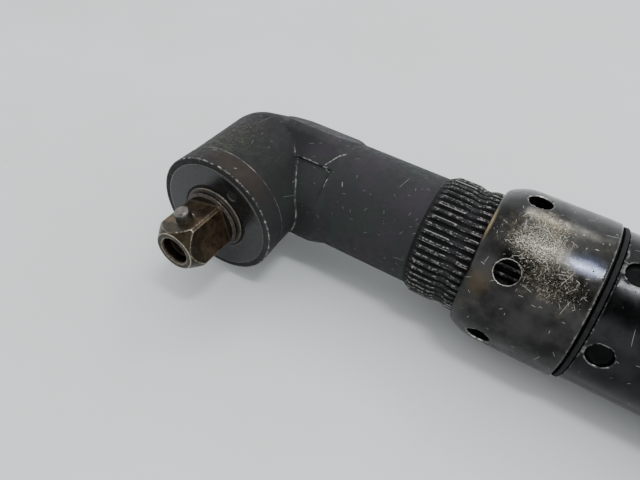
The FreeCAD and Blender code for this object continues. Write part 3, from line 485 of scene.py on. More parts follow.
def makeSpeckGroup():
    # small irregular specks, such as pits and dust
    tree, source, result = newGroup("specks", [
        ("Vector", "NodeSocketVector", None), ("Scale", "NodeSocketFloat", 1.5),
        ("Size", "NodeSocketFloat", 0.18), ("Share", "NodeSocketFloat", 0.2)],
        [("Mask", "NodeSocketFloat")])
    wobble = add(tree, "ShaderNodeTexNoise", {"Vector": source["Vector"], "Scale": 2.2, "Detail": 3.0})
    soft = add(tree, "ShaderNodeVectorMath", {0: wobble.outputs["Color"], "Scale": 0.5}, operation="SCALE")
    bent = vectorCalc(tree, "ADD", source["Vector"], soft.outputs[0])[0]
    cell = add(tree, "ShaderNodeTexVoronoi", {"Vector": bent, "Scale": source["Scale"]},
               feature="F1")
    chance = add(tree, "ShaderNodeSeparateColor", {0: cell.outputs["Color"]}).outputs[0]
    dot = span(tree, cell.outputs["Distance"], times(tree, source["Size"], 0.5), source["Size"],
               1.0, 0.0)
    kept = calc(tree, "LESS_THAN", chance, source["Share"])
    tree.links.new(times(tree, dot, kept), result["Mask"])


def dressFloor():
    material = bpy.data.materials.new("paleTable")
    material.use_nodes = True
    tree = material.node_tree
    shader = tree.nodes["Principled BSDF"]
    spot = add(tree, "ShaderNodeTexCoord").outputs["Object"]
    tone = noise(tree, spot, 9.0, 3.0)
    colour = blendColour(tree, span(tree, tone, 0.35, 0.65), studio["floorColour"], studio["floorPatch"])
    dots = place(tree, "specks", {"Vector": spot, "Scale": 90.0, "Size": 0.05, "Share": 0.05})["Mask"]
    colour = blendColour(tree, times(tree, dots, 0.5), colour, (0.2, 0.19, 0.17))
    rough = span(tree, noise(tree, spot, 25.0, 4.0), 0.3, 0.7, 0.42, 0.6)
    tree.links.new(colour, shader.inputs["Base Color"])
    tree.links.new(rough, shader.inputs["Roughness"])
    bpy.data.objects["floor"].data.materials.append(material)


makeEdgeGroup()
makeScratchGroup()
makeSpeckGroup()
dressFloor()


def startMaterial(name):
    material = bpy.data.materials.new(name)
    material.use_nodes = True
    tree = material.node_tree
    return material, tree, tree.nodes["Principled BSDF"], placeOnPiece(tree)


def closeMaterial(tree, shader, colour, roughness, metallic, height, depth):
    tree.links.new(colour, shader.inputs["Base Color"])
    tree.links.new(roughness, shader.inputs["Roughness"])
    if isinstance(metallic, bpy.types.NodeSocket):
        tree.links.new(metallic, shader.inputs["Metallic"])
    else:
        shader.inputs["Metallic"].default_value = metallic
    bump = add(tree, "ShaderNodeBump", {"Height": height, "Strength": 1.0, "Distance": depth * mm})
    tree.links.new(bump.outputs[0], shader.inputs["Normal"])


def clouds(tree, spot, *settings):
    return noise(tree, spot["Place"], *settings)


def specks(tree, spot, scale, size, share):
    links = {"Vector": spot["Place"], "Scale": scale, "Size": size, "Share": share}
    return place(tree, "specks", links)["Mask"]


def scratches(tree, spots, cells, length, width, share, turn=0.0, spread=1.0):
    links = {"Vector": spots, "Cells": cells, "Length": length, "Width": width, "Share": share,
             "Turn": turn, "Spread": spread}
    return place(tree, "scratches", links)["Mask"]


def edgeWear(tree, spot, start, full, ragged, grain=1.3):
    links = {"Place": spot["Place"], "Start": start, "Full": full, "Ragged": ragged, "Grain": grain}
    return place(tree, "edgeWear", links)


def atAngle(along, degrees):
    # a place on the unrolled surface, from mm along the axis and degrees round it
    return along, handleUnroll * math.radians(degrees)


def patch(tree, spots, centre, size, ragged=0.6):
    # soft ragged patch on the unrolled surface, centre and size in mm
    away = vectorCalc(tree, "SUBTRACT", spots, (centre[0], centre[1], 0))[0]
    squeezed = vectorCalc(tree, "MULTIPLY", away, (1 / size[0], 1 / size[1], 0))[0]
    reach = add(tree, "ShaderNodeVectorMath", {0: squeezed}, operation="LENGTH").outputs["Value"]
    torn = plus(tree, reach, times(tree, minus(tree, noise(tree, spots, 0.25, 4.0, 0.6), 0.5), ragged * 2))
    return span(tree, torn, 0.25, 1.25, 1.0, 0.0)


def rubbedLine(tree, spots, start, end, width):
    # one straight worn line on the unrolled surface, from start to end in mm
    length = math.dist(start, end)
    ahead = ((end[0] - start[0]) / length, (end[1] - start[1]) / length, 0)
    away = vectorCalc(tree, "SUBTRACT", spots, (start[0], start[1], 0))[0]
    along = vectorCalc(tree, "DOT_PRODUCT", away, ahead)["Value"]
    across = vectorCalc(tree, "DOT_PRODUCT", away, (-ahead[1], ahead[0], 0))["Value"]
    middle = calc(tree, "ABSOLUTE", minus(tree, along, length / 2))
    ends = span(tree, middle, length * 0.42, length * 0.52, 1.0, 0.0)
    sides = span(tree, calc(tree, "ABSOLUTE", across), width * 0.4, width, 1.0, 0.0)
    torn = span(tree, noise(tree, spots, 1.1, 4.0, 0.7), 0.36, 0.58, 0.1, 1.0)
    return times(tree, times(tree, ends, sides), torn)


phosphate = {
    "charcoal": (0.023, 0.024, 0.0235), "green": (0.023, 0.030, 0.0245), "plum": (0.030, 0.025, 0.029),
    # barrel: painted shade colour laid over the whole barrel
    "shade": (0.016, 0.016, 0.017), "barrel": (0.008, 0.008, 0.0075), "collar": (0.007, 0.007, 0.007),
    "brown": (0.027, 0.018, 0.013), "olive": (0.066, 0.061, 0.036), "dust": (0.24, 0.24, 0.22),
    # the darkest colour below is dirt with painted shade, for hollow corners and the serration grooves
    "bare": (0.42, 0.40, 0.37), "grimeAndShade": (0.006, 0.006, 0.006), "roughness": 0.56,
    "brownPatch": (70, -27.6, (13.0, 4.4)), "olivePatch": (104, -17.0, (9.5, 13.0)),  # degrees, mm, size
    "bandEnd": 24.3, "creaseRadius": 19.3,
    "rubbed": [((22.7, 22.5), (26.5, 30.4), 0.20, 0.7), ((22.5, 22.0), (24.9, 21.0), 0.30, 0.8),
               ((30.0, 19.5), (30.7, 17.8), 0.16, 0.7)],
}


def headStainsAndShade(tree, spot, colour):
    # painted shade darkening the barrel, a brown stain behind its rim and olive mottling on top
    # painted shade: the barrel is darkened towards the barrel colour
    barrelShade = span(tree, spot["Along Handle"], 13.0, 19.5, 0.62, 0.0)
    colour = blendColour(tree, barrelShade, colour, phosphate["barrel"])
    turn, along, size = phosphate["brownPatch"]
    behindRim = patch(tree, spot["Unrolled Head"], (headUnroll * math.radians(turn), along), size, 0.35)
    colour = blendColour(tree, times(tree, behindRim, 0.75), colour, phosphate["brown"])
    turn, along, size = phosphate["olivePatch"]
    moss = patch(tree, spot["Unrolled Head"], (headUnroll * math.radians(turn), along), size, 0.5)
    mottle = span(tree, clouds(tree, spot, 1.5, 5.0, 0.75), 0.48, 0.62)
    return blendColour(tree, times(tree, times(tree, moss, mottle), 0.7), colour, phosphate["olive"])


def headLines(tree, spot, bare):
    # worn lines: the edges of the flats, the crease round the neck and the end of the turned band
    for start, end, width, share in phosphate["rubbed"]:
        line = rubbedLine(tree, spot["Unrolled Handle"], start, end, width)
        bare = most(tree, bare, times(tree, line, share))
    onNeck = times(tree, span(tree, spot["Along Head"], -19.0, -17.5),
                   span(tree, spot["Along Head"], -8.0, -4.0, 1.0, 0.0))
    crease = calc(tree, "ABSOLUTE", minus(tree, spot["Radius Head"], phosphate["creaseRadius"]))
    line = times(tree, span(tree, crease, 0.06, 0.22, 1.0, 0.0),
                 span(tree, clouds(tree, spot, 0.4, 4.0), 0.44, 0.62, 0.03, 0.5))
    bare = most(tree, bare, times(tree, line, onNeck))
    turned = calc(tree, "ABSOLUTE", plus(tree, spot["Along Head"], phosphate["bandEnd"]))
    line = times(tree, span(tree, turned, 0.05, 0.16, 1.0, 0.0),
                 span(tree, clouds(tree, spot, 0.35, 3.0), 0.40, 0.60, 0.05, 0.55))
    return most(tree, bare, line)


def phosphatedSteel(name, serrated=False):
    # dull blackened casting, dusty and scratched, rubbed bare at its edges, with painted shade on the
    # barrel, in hollow corners and in the serration grooves
    material, tree, shader, spot = startMaterial(name)
    tone = clouds(tree, spot, 0.075, 3.0, 0.6)
    colour = blendColour(tree, span(tree, tone, 0.38, 0.52), phosphate["plum"], phosphate["charcoal"])
    colour = blendColour(tree, span(tree, tone, 0.5, 0.66), colour, phosphate["green"])
    fine = clouds(tree, spot, 2.6, 5.0, 0.7)
    colour = blendColour(tree, span(tree, fine, 0.3, 0.7, 0.0, 0.55), colour, phosphate["shade"])
    if serrated:
        colour = blendColour(tree, 0.5, colour, phosphate["collar"])
    else:
        colour = headStainsAndShade(tree, spot, colour)
    dust = specks(tree, spot, 1.7, 0.26, 0.16)
    dusty = times(tree, dust, span(tree, clouds(tree, spot, 0.11, 2.0), 0.45, 0.62))
    colour = blendColour(tree, times(tree, dusty, 0.65), colour, phosphate["olive"])
    fineDust = specks(tree, spot, 4.5, 0.3, 0.13)
    pale = times(tree, fineDust, span(tree, clouds(tree, spot, 0.14, 3.0), 0.5, 0.66))
    colour = blendColour(tree, times(tree, pale, 0.5), colour, phosphate["dust"])
    long = scratches(tree, spot["Unrolled Handle"], 0.085, 5.0, 0.06, 0.35)
    short = scratches(tree, spot["Unrolled Handle"], 0.42, 0.8, 0.05, 0.14)
    scored = most(tree, times(tree, long, 0.45), times(tree, short, 0.5))
    edge = edgeWear(tree, spot, 0.30, 0.58, 0.75 if serrated else 0.42, 1.5 if serrated else 0.8)
    bare = most(tree, scored, times(tree, edge["Worn"], 0.5 if serrated else 0.75))
    # dirt with painted shade in hollow corners, and on the serrations painted shade deep in the grooves
    grimeAndShade = times(tree, edge["DirtAndShade"], 0.85)
    if serrated:
        grimeAndShade = most(tree, grimeAndShade, span(tree, spot["Radius Handle"], 17.15, 17.75, 0.95, 0.0))
    else:
        bare = headLines(tree, spot, bare)
    colour = blendColour(tree, bare, colour, phosphate["bare"])
    colour = blendColour(tree, grimeAndShade, colour, phosphate["grimeAndShade"])
    rough = span(tree, clouds(tree, spot, 0.5, 4.0, 0.6), 0.3, 0.7,
                 phosphate["roughness"] - 0.08, phosphate["roughness"] + 0.12)
    rough = blendValue(tree, bare, rough, 0.30)
    metallic = span(tree, bare, 0.0, 1.0, 0.0, 0.95)
    shader.inputs["Specular IOR Level"].default_value = 0.13
    height = plus(tree, times(tree, fine, 0.5), times(tree, clouds(tree, spot, 0.35, 3.0), 0.8))
    height = minus(tree, height, times(tree, scored, 0.6))
    closeMaterial(tree, shader, colour, rough, metallic, height, 0.05)
    return material


polished = {
    "dark": (0.014, 0.0135, 0.013), "grey": (0.040, 0.039, 0.037), "gold": (0.110, 0.090, 0.056),
    "scratch": (0.66, 0.63, 0.56), "sparkle": (0.36, 0.33, 0.26), "roughness": 0.20, "shadedBelow": 19.0,
    "tintsAndSheen": [((72.4, 25.0), (0.7, 6.0), (0.34, 0.26, 0.14), 0.6),
              # painted reflection: the bluish patch below is the tinge of the highlight; the others are
              # stains
              ((97.0, 22.9), (5.0, 3.0), (0.060, 0.068, 0.100), 0.7),
              ((76.0, 9.0), (3.5, 4.0), (0.075, 0.054, 0.030), 0.5)],
}
handled = dict(polished, sparkle=(0.085, 0.080, 0.070), scratch=(0.42, 0.40, 0.37),
               gold=(0.055, 0.048, 0.036), shadedBelow=4.0)
blackOxide = {
    "dark": (0.0075, 0.0075, 0.0075), "grey": (0.020, 0.020, 0.0205), "gold": (0.030, 0.028, 0.024),
    "scratch": (0.46, 0.45, 0.43), "sparkle": (0.10, 0.10, 0.09), "roughness": 0.13, "shadedBelow": 21.2,
    "tintsAndSheen": [((131.0, 10.0), (7.0, 9.0), (0.018, 0.022, 0.029), 0.5)],
}
anodised = {
    "dark": (0.030, 0.031, 0.034), "grey": (0.045, 0.046, 0.05), "gold": (0.05, 0.048, 0.045),
    "scratch": (0.50, 0.50, 0.50), "sparkle": (0.12, 0.12, 0.12), "roughness": 0.36, "shadedBelow": 4.0,
    "tintsAndSheen": [((214.0, 0.0), (6.0, 30.0), (0.05, 0.047, 0.04), 0.5)],
}
# dirt for pits and hollow corners, with painted shade there; hollow is the painted shade colour inside
# holes
soilAndShade = {"dirt": (0.012, 0.011, 0.010), "hollow": (0.0025, 0.0025, 0.0025)}
scratchLayers = [  # cells per mm, length, width, share inside a rubbed patch
    (0.36, 1.5, 0.045, 0.85), (0.7, 0.8, 0.035, 0.8), (0.20, 2.6, 0.05, 0.8), (1.3, 0.4, 0.035, 0.7),
]


def rubbedPatches(tree, spots, patches):
    rubbed = None
    for centre, size in patches:
        one = patch(tree, spots, centre, size)
        rubbed = one if rubbed is None else most(tree, rubbed, one)
    return rubbed


def polishedTone(tree, spot, look, rubbed):
    # dark steel with golden patches, a fine sparkle where it is rubbed, and local tints, among them a
    # painted bluish reflection on the nut
    tone = clouds(tree, spot, 0.09, 4.0, 0.6)
    colour = blendColour(tree, span(tree, tone, 0.36, 0.64), look["dark"], look["grey"])
    gold = span(tree, clouds(tree, spot, 0.13, 4.0, 0.65), 0.56, 0.72)
    colour = blendColour(tree, times(tree, gold, 0.45), colour, look["gold"])
    speckled = span(tree, clouds(tree, spot, 1.8, 5.0, 0.7), 0.42, 0.64)
    colour = blendColour(tree, times(tree, times(tree, rubbed, speckled), 0.6), colour, look["gold"])
    sparkle = times(tree, calc(tree, "POWER", rubbed, 1.6),
                    span(tree, clouds(tree, spot, 3.6, 3.0, 0.7), 0.47, 0.64))
    colour = blendColour(tree, times(tree, sparkle, 0.75), colour, look["sparkle"])
    for centre, size, tint, share in look["tintsAndSheen"]:
        tinted = patch(tree, spot["Unrolled Handle"], centre, size, 0.3)
        colour = blendColour(tree, times(tree, tinted, share), colour, tint)
    return colour


def polishedMarks(tree, spots, rubbed, scratchShare):
    # dense scratches in the rubbed patches and a few stray ones elsewhere
    marks = None
    for number, (cells, length, width, share) in enumerate(scratchLayers):
        moved = vectorCalc(tree, "ADD", spots, (number * 7.3, number * 3.1, 0))[0]
        one = scratches(tree, moved, cells, length, width, times(tree, rubbed, share))
        marks = one if marks is None else most(tree, marks, one)
    lone = scratches(tree, spots, 0.14, 2.6, 0.06, scratchShare, turn=1.1, spread=0.7)
    stray = scratches(tree, spots, 0.27, 0.7, 0.07, scratchShare)
    return most(tree, marks, times(tree, most(tree, lone, stray), 0.7))


def polishedSteel(name, look, patches, scratchShare=0.3):
    # blackened bright steel: long soft reflections, dense short scratches in rubbed patches, painted shade
    # in its holes
    material, tree, shader, spot = startMaterial(name)
    spots = spot["Unrolled Handle"]
    rubbed = rubbedPatches(tree, spots, patches)
    colour = polishedTone(tree, spot, look, rubbed)
    marks = polishedMarks(tree, spots, rubbed, scratchShare)
    pits = specks(tree, spot, 1.1, 0.2, 0.10)
    edge = edgeWear(tree, spot, 0.20, 0.6, 0.22, 0.8)
    bright = most(tree, times(tree, marks, 0.72), times(tree, edge["Worn"], 0.65))
    colour = blendColour(tree, bright, colour, look["scratch"])
    # dirt in pits, with painted shade in hollow corners
    dirtyAndShaded = times(tree, most(tree, pits, edge["DirtAndShade"]), 0.8)
    colour = blendColour(tree, dirtyAndShaded, colour, soilAndShade["dirt"])
    # painted shade: darker inside the spanner holes and the bore, below the given radius
    shadedBelow = span(tree, spot["Radius Handle"], look["shadedBelow"] - 0.5, look["shadedBelow"], 0.9, 0.0)
    colour = blendColour(tree, shadedBelow, colour, soilAndShade["hollow"])
    smear = clouds(tree, spot, 0.22, 4.0, 0.65)
    rough = span(tree, smear, 0.3, 0.7, look["roughness"] - 0.07, look["roughness"] + 0.12)
    rough = plus(tree, rough, times(tree, rubbed, 0.05))
    rough = blendValue(tree, bright, rough, 0.35)
    rough = plus(tree, rough, times(tree, shadedBelow, 0.35))
    rough = plus(tree, rough, times(tree, pits, 0.3), clamp=True)
    height = minus(tree, times(tree, smear, 0.25),
                   plus(tree, times(tree, marks, 0.6), times(tree, pits, 0.8)))
    turned = noise(tree, vectorCalc(tree, "MULTIPLY", spots, (9.0, 0.25, 0))[0], 1.0, 2.0)
    height = plus(tree, height, times(tree, turned, 0.10))
    closeMaterial(tree, shader, colour, rough, 0.92, height, 0.03)
    return material


drive = {
    "dark": (0.028, 0.018, 0.010), "brown": (0.088, 0.060, 0.033), "nose": (0.027, 0.021, 0.012),
    # bore: painted shade colour for the inside of the bore
    "bore": (0.012, 0.007, 0.005), "boss": (0.022, 0.021, 0.020), "bare": (0.48, 0.43, 0.35),
    "pit": (0.010, 0.008, 0.006),
    "noseStart": -44.9, "boreRadius": 4.25, "boreEnd": -49.4, "bossEnd": -34.6,  # mm along the drive
}


def driveSteel():
    # worn brown-black square with rubbed, brighter edges, dirt and painted shade in hollow corners, and
    # painted shade inside its bore
    material, tree, shader, spot = startMaterial("driveSteel")
    along = spot["Along Head"]
    tone = clouds(tree, spot, 0.28, 4.0, 0.65)
    colour = blendColour(tree, span(tree, tone, 0.35, 0.65), drive["dark"], drive["brown"])
    nose = span(tree, along, drive["noseStart"] - 0.7, drive["noseStart"], 1.0, 0.0)
    paler = times(tree, nose, span(tree, clouds(tree, spot, 0.8, 4.0), 0.3, 0.6, 0.55, 1.0))
    colour = blendColour(tree, paler, colour, drive["nose"])
    # painted shade: the inside of the bore is darkened towards the bore colour
    radius, end = drive["boreRadius"], drive["boreEnd"]
    inside = times(tree, span(tree, spot["Radius Head"], radius - 0.35, radius, 1.0, 0.0),
                   span(tree, along, end, end + 0.4))
    colour = blendColour(tree, times(tree, inside, 0.9), colour, drive["bore"])
    pits = specks(tree, spot, 2.0, 0.3, 0.22)
    edge = edgeWear(tree, spot, 0.10, 0.42, 0.20, 1.6)
    boss = span(tree, along, drive["bossEnd"], drive["bossEnd"] + 0.6, 0.0, 1.0)
    colour = blendColour(tree, times(tree, boss, 0.75), colour, drive["boss"])
    bright = times(tree, edge["Worn"], span(tree, boss, 0.0, 1.0, 0.75, 0.28))
    colour = blendColour(tree, bright, colour, drive["bare"])
    # dirt in pits, with painted shade in hollow corners
    colour = blendColour(tree, times(tree, most(tree, pits, edge["DirtAndShade"]), 0.8), colour, drive["pit"])
    rough = span(tree, clouds(tree, spot, 0.9, 4.0), 0.3, 0.7, 0.30, 0.48)
    rough = blendValue(tree, bright, rough, 0.26)
    height = minus(tree, times(tree, clouds(tree, spot, 1.2, 5.0, 0.6), 0.8), pits)
    closeMaterial(tree, shader, colour, rough, 0.85, height, 0.06)
    return material


satin = {
    "dark": (0.005, 0.005, 0.005), "pale": (0.008, 0.0078, 0.0078), "bare": (0.22, 0.21, 0.20),
    "dirt": (0.012, 0.012, 0.012), "rings": 14.0,
}


def satinDisc():
    # smooth blackened ring with faint turning marks
    material, tree, shader, spot = startMaterial("satinDisc")
    tone = clouds(tree, spot, 0.12, 3.0)
    colour = blendColour(tree, span(tree, tone, 0.35, 0.65), satin["dark"], satin["pale"])
    pits = specks(tree, spot, 1.3, 0.16, 0.10)
    edge = edgeWear(tree, spot, 0.2, 0.6, 0.25)
    colour = blendColour(tree, times(tree, edge["Worn"], 0.35), colour, satin["bare"])
    # dirt in pits, with painted shade in hollow corners
    dirtyAndShaded = most(tree, times(tree, pits, 0.5), edge["DirtAndShade"])
    colour = blendColour(tree, dirtyAndShaded, colour, satin["dirt"])
    rings = calc(tree, "SINE", times(tree, spot["Radius Head"], satin["rings"]))
    rough = span(tree, clouds(tree, spot, 0.4, 3.0), 0.3, 0.7, 0.22, 0.32)
    height = plus(tree, times(tree, rings, 0.12), clouds(tree, spot, 0.9, 3.0))
    shader.inputs["Specular IOR Level"].default_value = 0.42
    closeMaterial(tree, shader, colour, rough, 0.0, height, 0.003)
    return material


def bareSteel(name, colourLow, colourHigh, roughness, grain=6.0):
    # ground steel, oiled
    material, tree, shader, spot = startMaterial(name)
    tone = clouds(tree, spot, 0.7, 4.0, 0.6)
    colour = blendColour(tree, span(tree, tone, 0.3, 0.7), colourLow, colourHigh)
    line = scratches(tree, spot["Unrolled Handle"], 0.5, 1.4, 0.03, 0.4)
    colour = blendColour(tree, times(tree, line, 0.4), colour, (0.7, 0.69, 0.66))
    fine = clouds(tree, spot, grain, 3.0, 0.6)
    rough = span(tree, fine, 0.3, 0.7, roughness - 0.06, roughness + 0.10)
    closeMaterial(tree, shader, colour, rough, 0.95, fine, 0.015)
    return material


rubber = {"dark": (0.006, 0.006, 0.006), "pale": (0.013, 0.013, 0.013), "dust": (0.20, 0.19, 0.17)}


def sealRubber():
    # dull black ring with dust in its grain
    material, tree, shader, spot = startMaterial("sealRubber")
    tone = clouds(tree, spot, 0.5, 4.0, 0.65)
    colour = blendColour(tree, span(tree, tone, 0.35, 0.65), rubber["dark"], rubber["pale"])
    dust = specks(tree, spot, 3.2, 0.26, 0.14)
    colour = blendColour(tree, times(tree, dust, 0.45), colour, rubber["dust"])
    rough = span(tree, tone, 0.3, 0.7, 0.55, 0.75)
    shader.inputs["Specular IOR Level"].default_value = 0.12
    height = plus(tree, clouds(tree, spot, 1.3, 5.0, 0.7), dust)
    closeMaterial(tree, shader, colour, rough, 0.0, height, 0.09)
    return material


def mouldedPlastic(name, colourLow, colourHigh, roughness):
    material, tree, shader, spot = startMaterial(name)
    grain = clouds(tree, spot, 2.4, 4.0, 0.6)
    tone = clouds(tree, spot, 0.2, 3.0)
    colour = blendColour(tree, span(tree, tone, 0.35, 0.65), colourLow, colourHigh)
    edge = edgeWear(tree, spot, 0.25, 0.7, 0.3)
    colour = blendColour(tree, times(tree, edge["Worn"], 0.3), colour, (0.12, 0.12, 0.12))
    rough = span(tree, grain, 0.3, 0.7, roughness - 0.06, roughness + 0.1)
    closeMaterial(tree, shader, colour, rough, 0.0, grain, 0.04)
    return material


wear = {  # rubbed patches: centre on the unrolled surface, size in mm
    "nut": [(atAngle(85.0, 66), (9.0, 9.5)), (atAngle(92, 45), (9.0, 5.5)),
            (atAngle(84, -120), (9.0, 8.0)), (atAngle(94, 148), (7.0, 7.0))],
    "case": [(atAngle(125, -60), (9.0, 7.0)), (atAngle(116, 140), (8.0, 9.0))],
    "housing": [(atAngle(165, 80), (16.0, 9.0)), (atAngle(190, -70), (14.0, 11.0)),
                (atAngle(205, 125), (9.0, 10.0))],
    "grip": [(atAngle(290, 20), (30.0, 8.0)), (atAngle(262, -95), (22.0, 10.0)),
             (atAngle(226, 100), (9.0, 9.0))],
    "lever": [((292, -50), (38.0, 20.0)), ((292, 50), (38.0, 20.0))],
    "inlet": [((352, 0), (6.0, 9.0)), ((350, 45), (6.0, 9.0))],
}
finishes = {
    "head_steel": phosphatedSteel("phosphatedSteel"),
    "serrations": phosphatedSteel("serratedSteel", serrated=True),
    "disc_steel": satinDisc(),
    "drive_steel": driveSteel(),
    "pin_steel": bareSteel("pinSteel", (0.085, 0.080, 0.070), (0.155, 0.146, 0.128), 0.32, 3.0),
    "spring_steel": bareSteel("springSteel", (0.35, 0.35, 0.36), (0.45, 0.45, 0.45), 0.30),
    "nut_steel": polishedSteel("polishedSteel", polished, wear["nut"], 0.35),
    "gear_steel": bareSteel("gearSteel", (0.28, 0.28, 0.29), (0.40, 0.40, 0.41), 0.30),
    "bearing_steel": bareSteel("bearingSteel", (0.50, 0.50, 0.51), (0.62, 0.62, 0.63), 0.18),
    "case_steel": polishedSteel("blackOxideSteel", blackOxide, wear["case"], 0.3),
    "seal_rubber": sealRubber(),
    "bronze": bareSteel("sinteredBronze", (0.42, 0.29, 0.15), (0.56, 0.40, 0.22), 0.42, 4.0),
    "motor_iron": bareSteel("groundIron", (0.24, 0.24, 0.24), (0.34, 0.34, 0.34), 0.38),
    "housing_alloy": polishedSteel("anodisedHousing", anodised, wear["housing"], 0.25),
    "handle_alloy": polishedSteel("anodisedHandle", anodised, wear["grip"], 0.25),
    "deflector_plastic": mouldedPlastic("mouldedSleeve", (0.016, 0.016, 0.017), (0.026, 0.026, 0.027), 0.5),
    "lever_steel": polishedSteel("leverSteel", handled, wear["lever"]),
    "inlet_steel": polishedSteel("inletSteel", handled, wear["inlet"]),
    "vane_plastic": mouldedPlastic("phenolicVane", (0.16, 0.09, 0.05), (0.24, 0.14, 0.08), 0.5),
}
print("finishes ready")


head = {
    "voxel": 0.40,
    "barrel": [(-31.4, 0), (-31.4, 19.2), (-31.15, 19.44), (-24.5, 19.16), (-24.2, 19.05), (-1.2, 18.75),
               (0.7, 18.4), (2.07, 17.8), (17.8, 8.08), (18.5, 7.15), (18.5, 0)],
    "neck": [(0, 0), (0, 16.1), (4, 16.8), (56.5, 16.8), (56.5, 0)],
    "hexFlat": 16.86, "hexLength": 26.8,
    "hexTrim": [(-1, 0), (-1, 16.2), (4.6, 18.4), (22.7, 18.4), (26.8, 16.84), (26.8, 0)],
    "reliefRadius": 16.8, "reliefShift": (-1.543, -1.839), "reliefEnd": 25.3, "reliefTop": 67.2,
    "bore": [(-33, 0), (-33, 18.25), (-31.4, 18.25), (-30.8, 17.65), (-25.7, 17.65), (-25.7, 0)],
}


def makeHead():
    # neck, six flats with a hollow relief, barrel and the bore for the disc
    neck = lathe("headNeck", "X", head["neck"], 160)
    clearSelection()
    corner = head["hexFlat"] / math.cos(math.radians(30))
    length = head["hexLength"]
    bpy.ops.mesh.primitive_cylinder_add(vertices=6, radius=corner * mm, depth=length * mm,
                                        location=(0, 0, 0))
    hexagon = bpy.context.object
    turn = Matrix.Rotation(math.radians(30), 4, "X") @ Matrix.Rotation(math.radians(90), 4, "Y")
    hexagon.data.transform(Matrix.Translation((length / 2 * mm, axisY, 0)) @ turn)
    carve(hexagon, lathe("hexTrim", "X", head["hexTrim"], 160), "INTERSECT")
    carve(neck, hexagon, "UNION")
    carve(neck, makeRelief())
    carve(neck, lathe("headBarrel", "Y", head["barrel"], 160), "UNION")
    carve(neck, lathe("discBore", "Y", head["bore"], 160))
    neck.name = neck.data.name = "headCasting"
    settle(neck, head["voxel"])
    trueUp(neck, "Y", [(-31.1, 19.42), (-24.5, 19.16), (-24.2, 19.05), (-1.4, 18.75)])
    trueUp(neck, "X", [(27.5, 16.8), (55.5, 16.8)])
    markEdges(neck, 0.5)
    finish(neck, "tool", ["angle_head_housing"], finishes["head_steel"])


def drawn(outline, height, name):
    # flat outline in the plane across the handle, extruded along it
    clearSelection()
    bpy.ops.mesh.primitive_plane_add(size=mm, location=(0, 0, 0))
    piece = bpy.context.object
    piece.name = name
    bpy.ops.object.mode_set(mode="EDIT")
    bpy.ops.mesh.select_mode(type="VERT")
    bpy.ops.mesh.select_all(action="SELECT")
    bpy.ops.mesh.merge(type="CENTER")
    start, end = height
    places = [Vector((start * mm, axisY + y * mm, z * mm)) for y, z in outline]
    bpy.ops.transform.translate(value=places[0])
    for here, there in zip(places, places[1:]):
        bpy.ops.mesh.extrude_vertices_move(TRANSFORM_OT_translate={"value": there - here})
    bpy.ops.mesh.select_all(action="SELECT")
    bpy.ops.mesh.edge_face_add()
    bpy.ops.mesh.extrude_region_move(TRANSFORM_OT_translate={"value": ((end - start) * mm, 0, 0)})
    bpy.ops.mesh.select_all(action="SELECT")
    bpy.ops.mesh.normals_make_consistent(inside=False)
    bpy.ops.object.mode_set(mode="OBJECT")
    return piece


def makeRelief():
    # smooth hollow that takes one corner off the hexagon
    shift, radius = head["reliefShift"], head["reliefRadius"]
    curve = []
    for step in range(21):
        around = math.radians(-8 + (head["reliefTop"] + 8) * step / 20)
        curve.append((-radius * math.cos(around) + shift[0], radius * math.sin(around) + shift[1]))
    outer = []
    for spot in (curve[-1], curve[0]):
        reach = 24 / math.hypot(*spot)
        outer.append((spot[0] * reach, spot[1] * reach))
    return drawn(curve + [outer[0], (-24, 14), outer[1]], (-1, head["reliefEnd"]), "relief")


serrations = {
    "voxel": 0.315, "count": 50, "phase": 0.15,
    "groove": [(16.98, -0.28), (16.98, 0.28), (18.6, 0.82), (19.6, 0.82), (19.6, -0.82), (18.6, -0.82)],
    "outline": [(55.3, 0), (55.3, 16.6), (55.5, 16.72), (58.2, 18.35), (64.4, 18.35), (65.2, 18.18),
                (66.3, 17.8), (67.2, 17.72), (68.0, 17.8), (69.1, 18.3), (69.8, 18.45), (86, 18.45),
                (86, 0)],
}


def makeSerrations():
    collar = lathe("headSerrations", "X", serrations["outline"], 200)
    grooves = [drawn(serrations["groove"], (54, 88), "groove")]
    for _ in range(serrations["count"] - 1):
        groove = grooves[0].copy()
        groove.data = groove.data.copy()
        bpy.context.collection.objects.link(groove)
        grooves.append(groove)
    centre = Matrix.Translation((0, axisY, 0))
    for number, groove in enumerate(grooves):
        angle = math.tau * (number + serrations["phase"] + 0.5) / serrations["count"]
        groove.data.transform(centre @ Matrix.Rotation(angle, 4, "X") @ centre.inverted())
    carve(collar, joined(grooves, "grooves"))
    settle(collar, serrations["voxel"], 1)
    markEdges(collar, 0.35, 1)
    finish(collar, "tool", ["angle_head_housing"], finishes["serrations"])


makeHead()
makeSerrations()
print("head ready")


coupling = {
    "voxel": 0.345, "round": 13.6, "roundEnd": 80.3, "radius": 22.8, "face": 72.0, "end": 102.2,
    "hole": 3.2, "holePlace": 81.4, "holeTurn": 98.97,
}


def around(angle, along, radius):
    angle = math.radians(angle)
    return (along * mm, axisY - radius * math.cos(angle) * mm, radius * math.sin(angle) * mm)


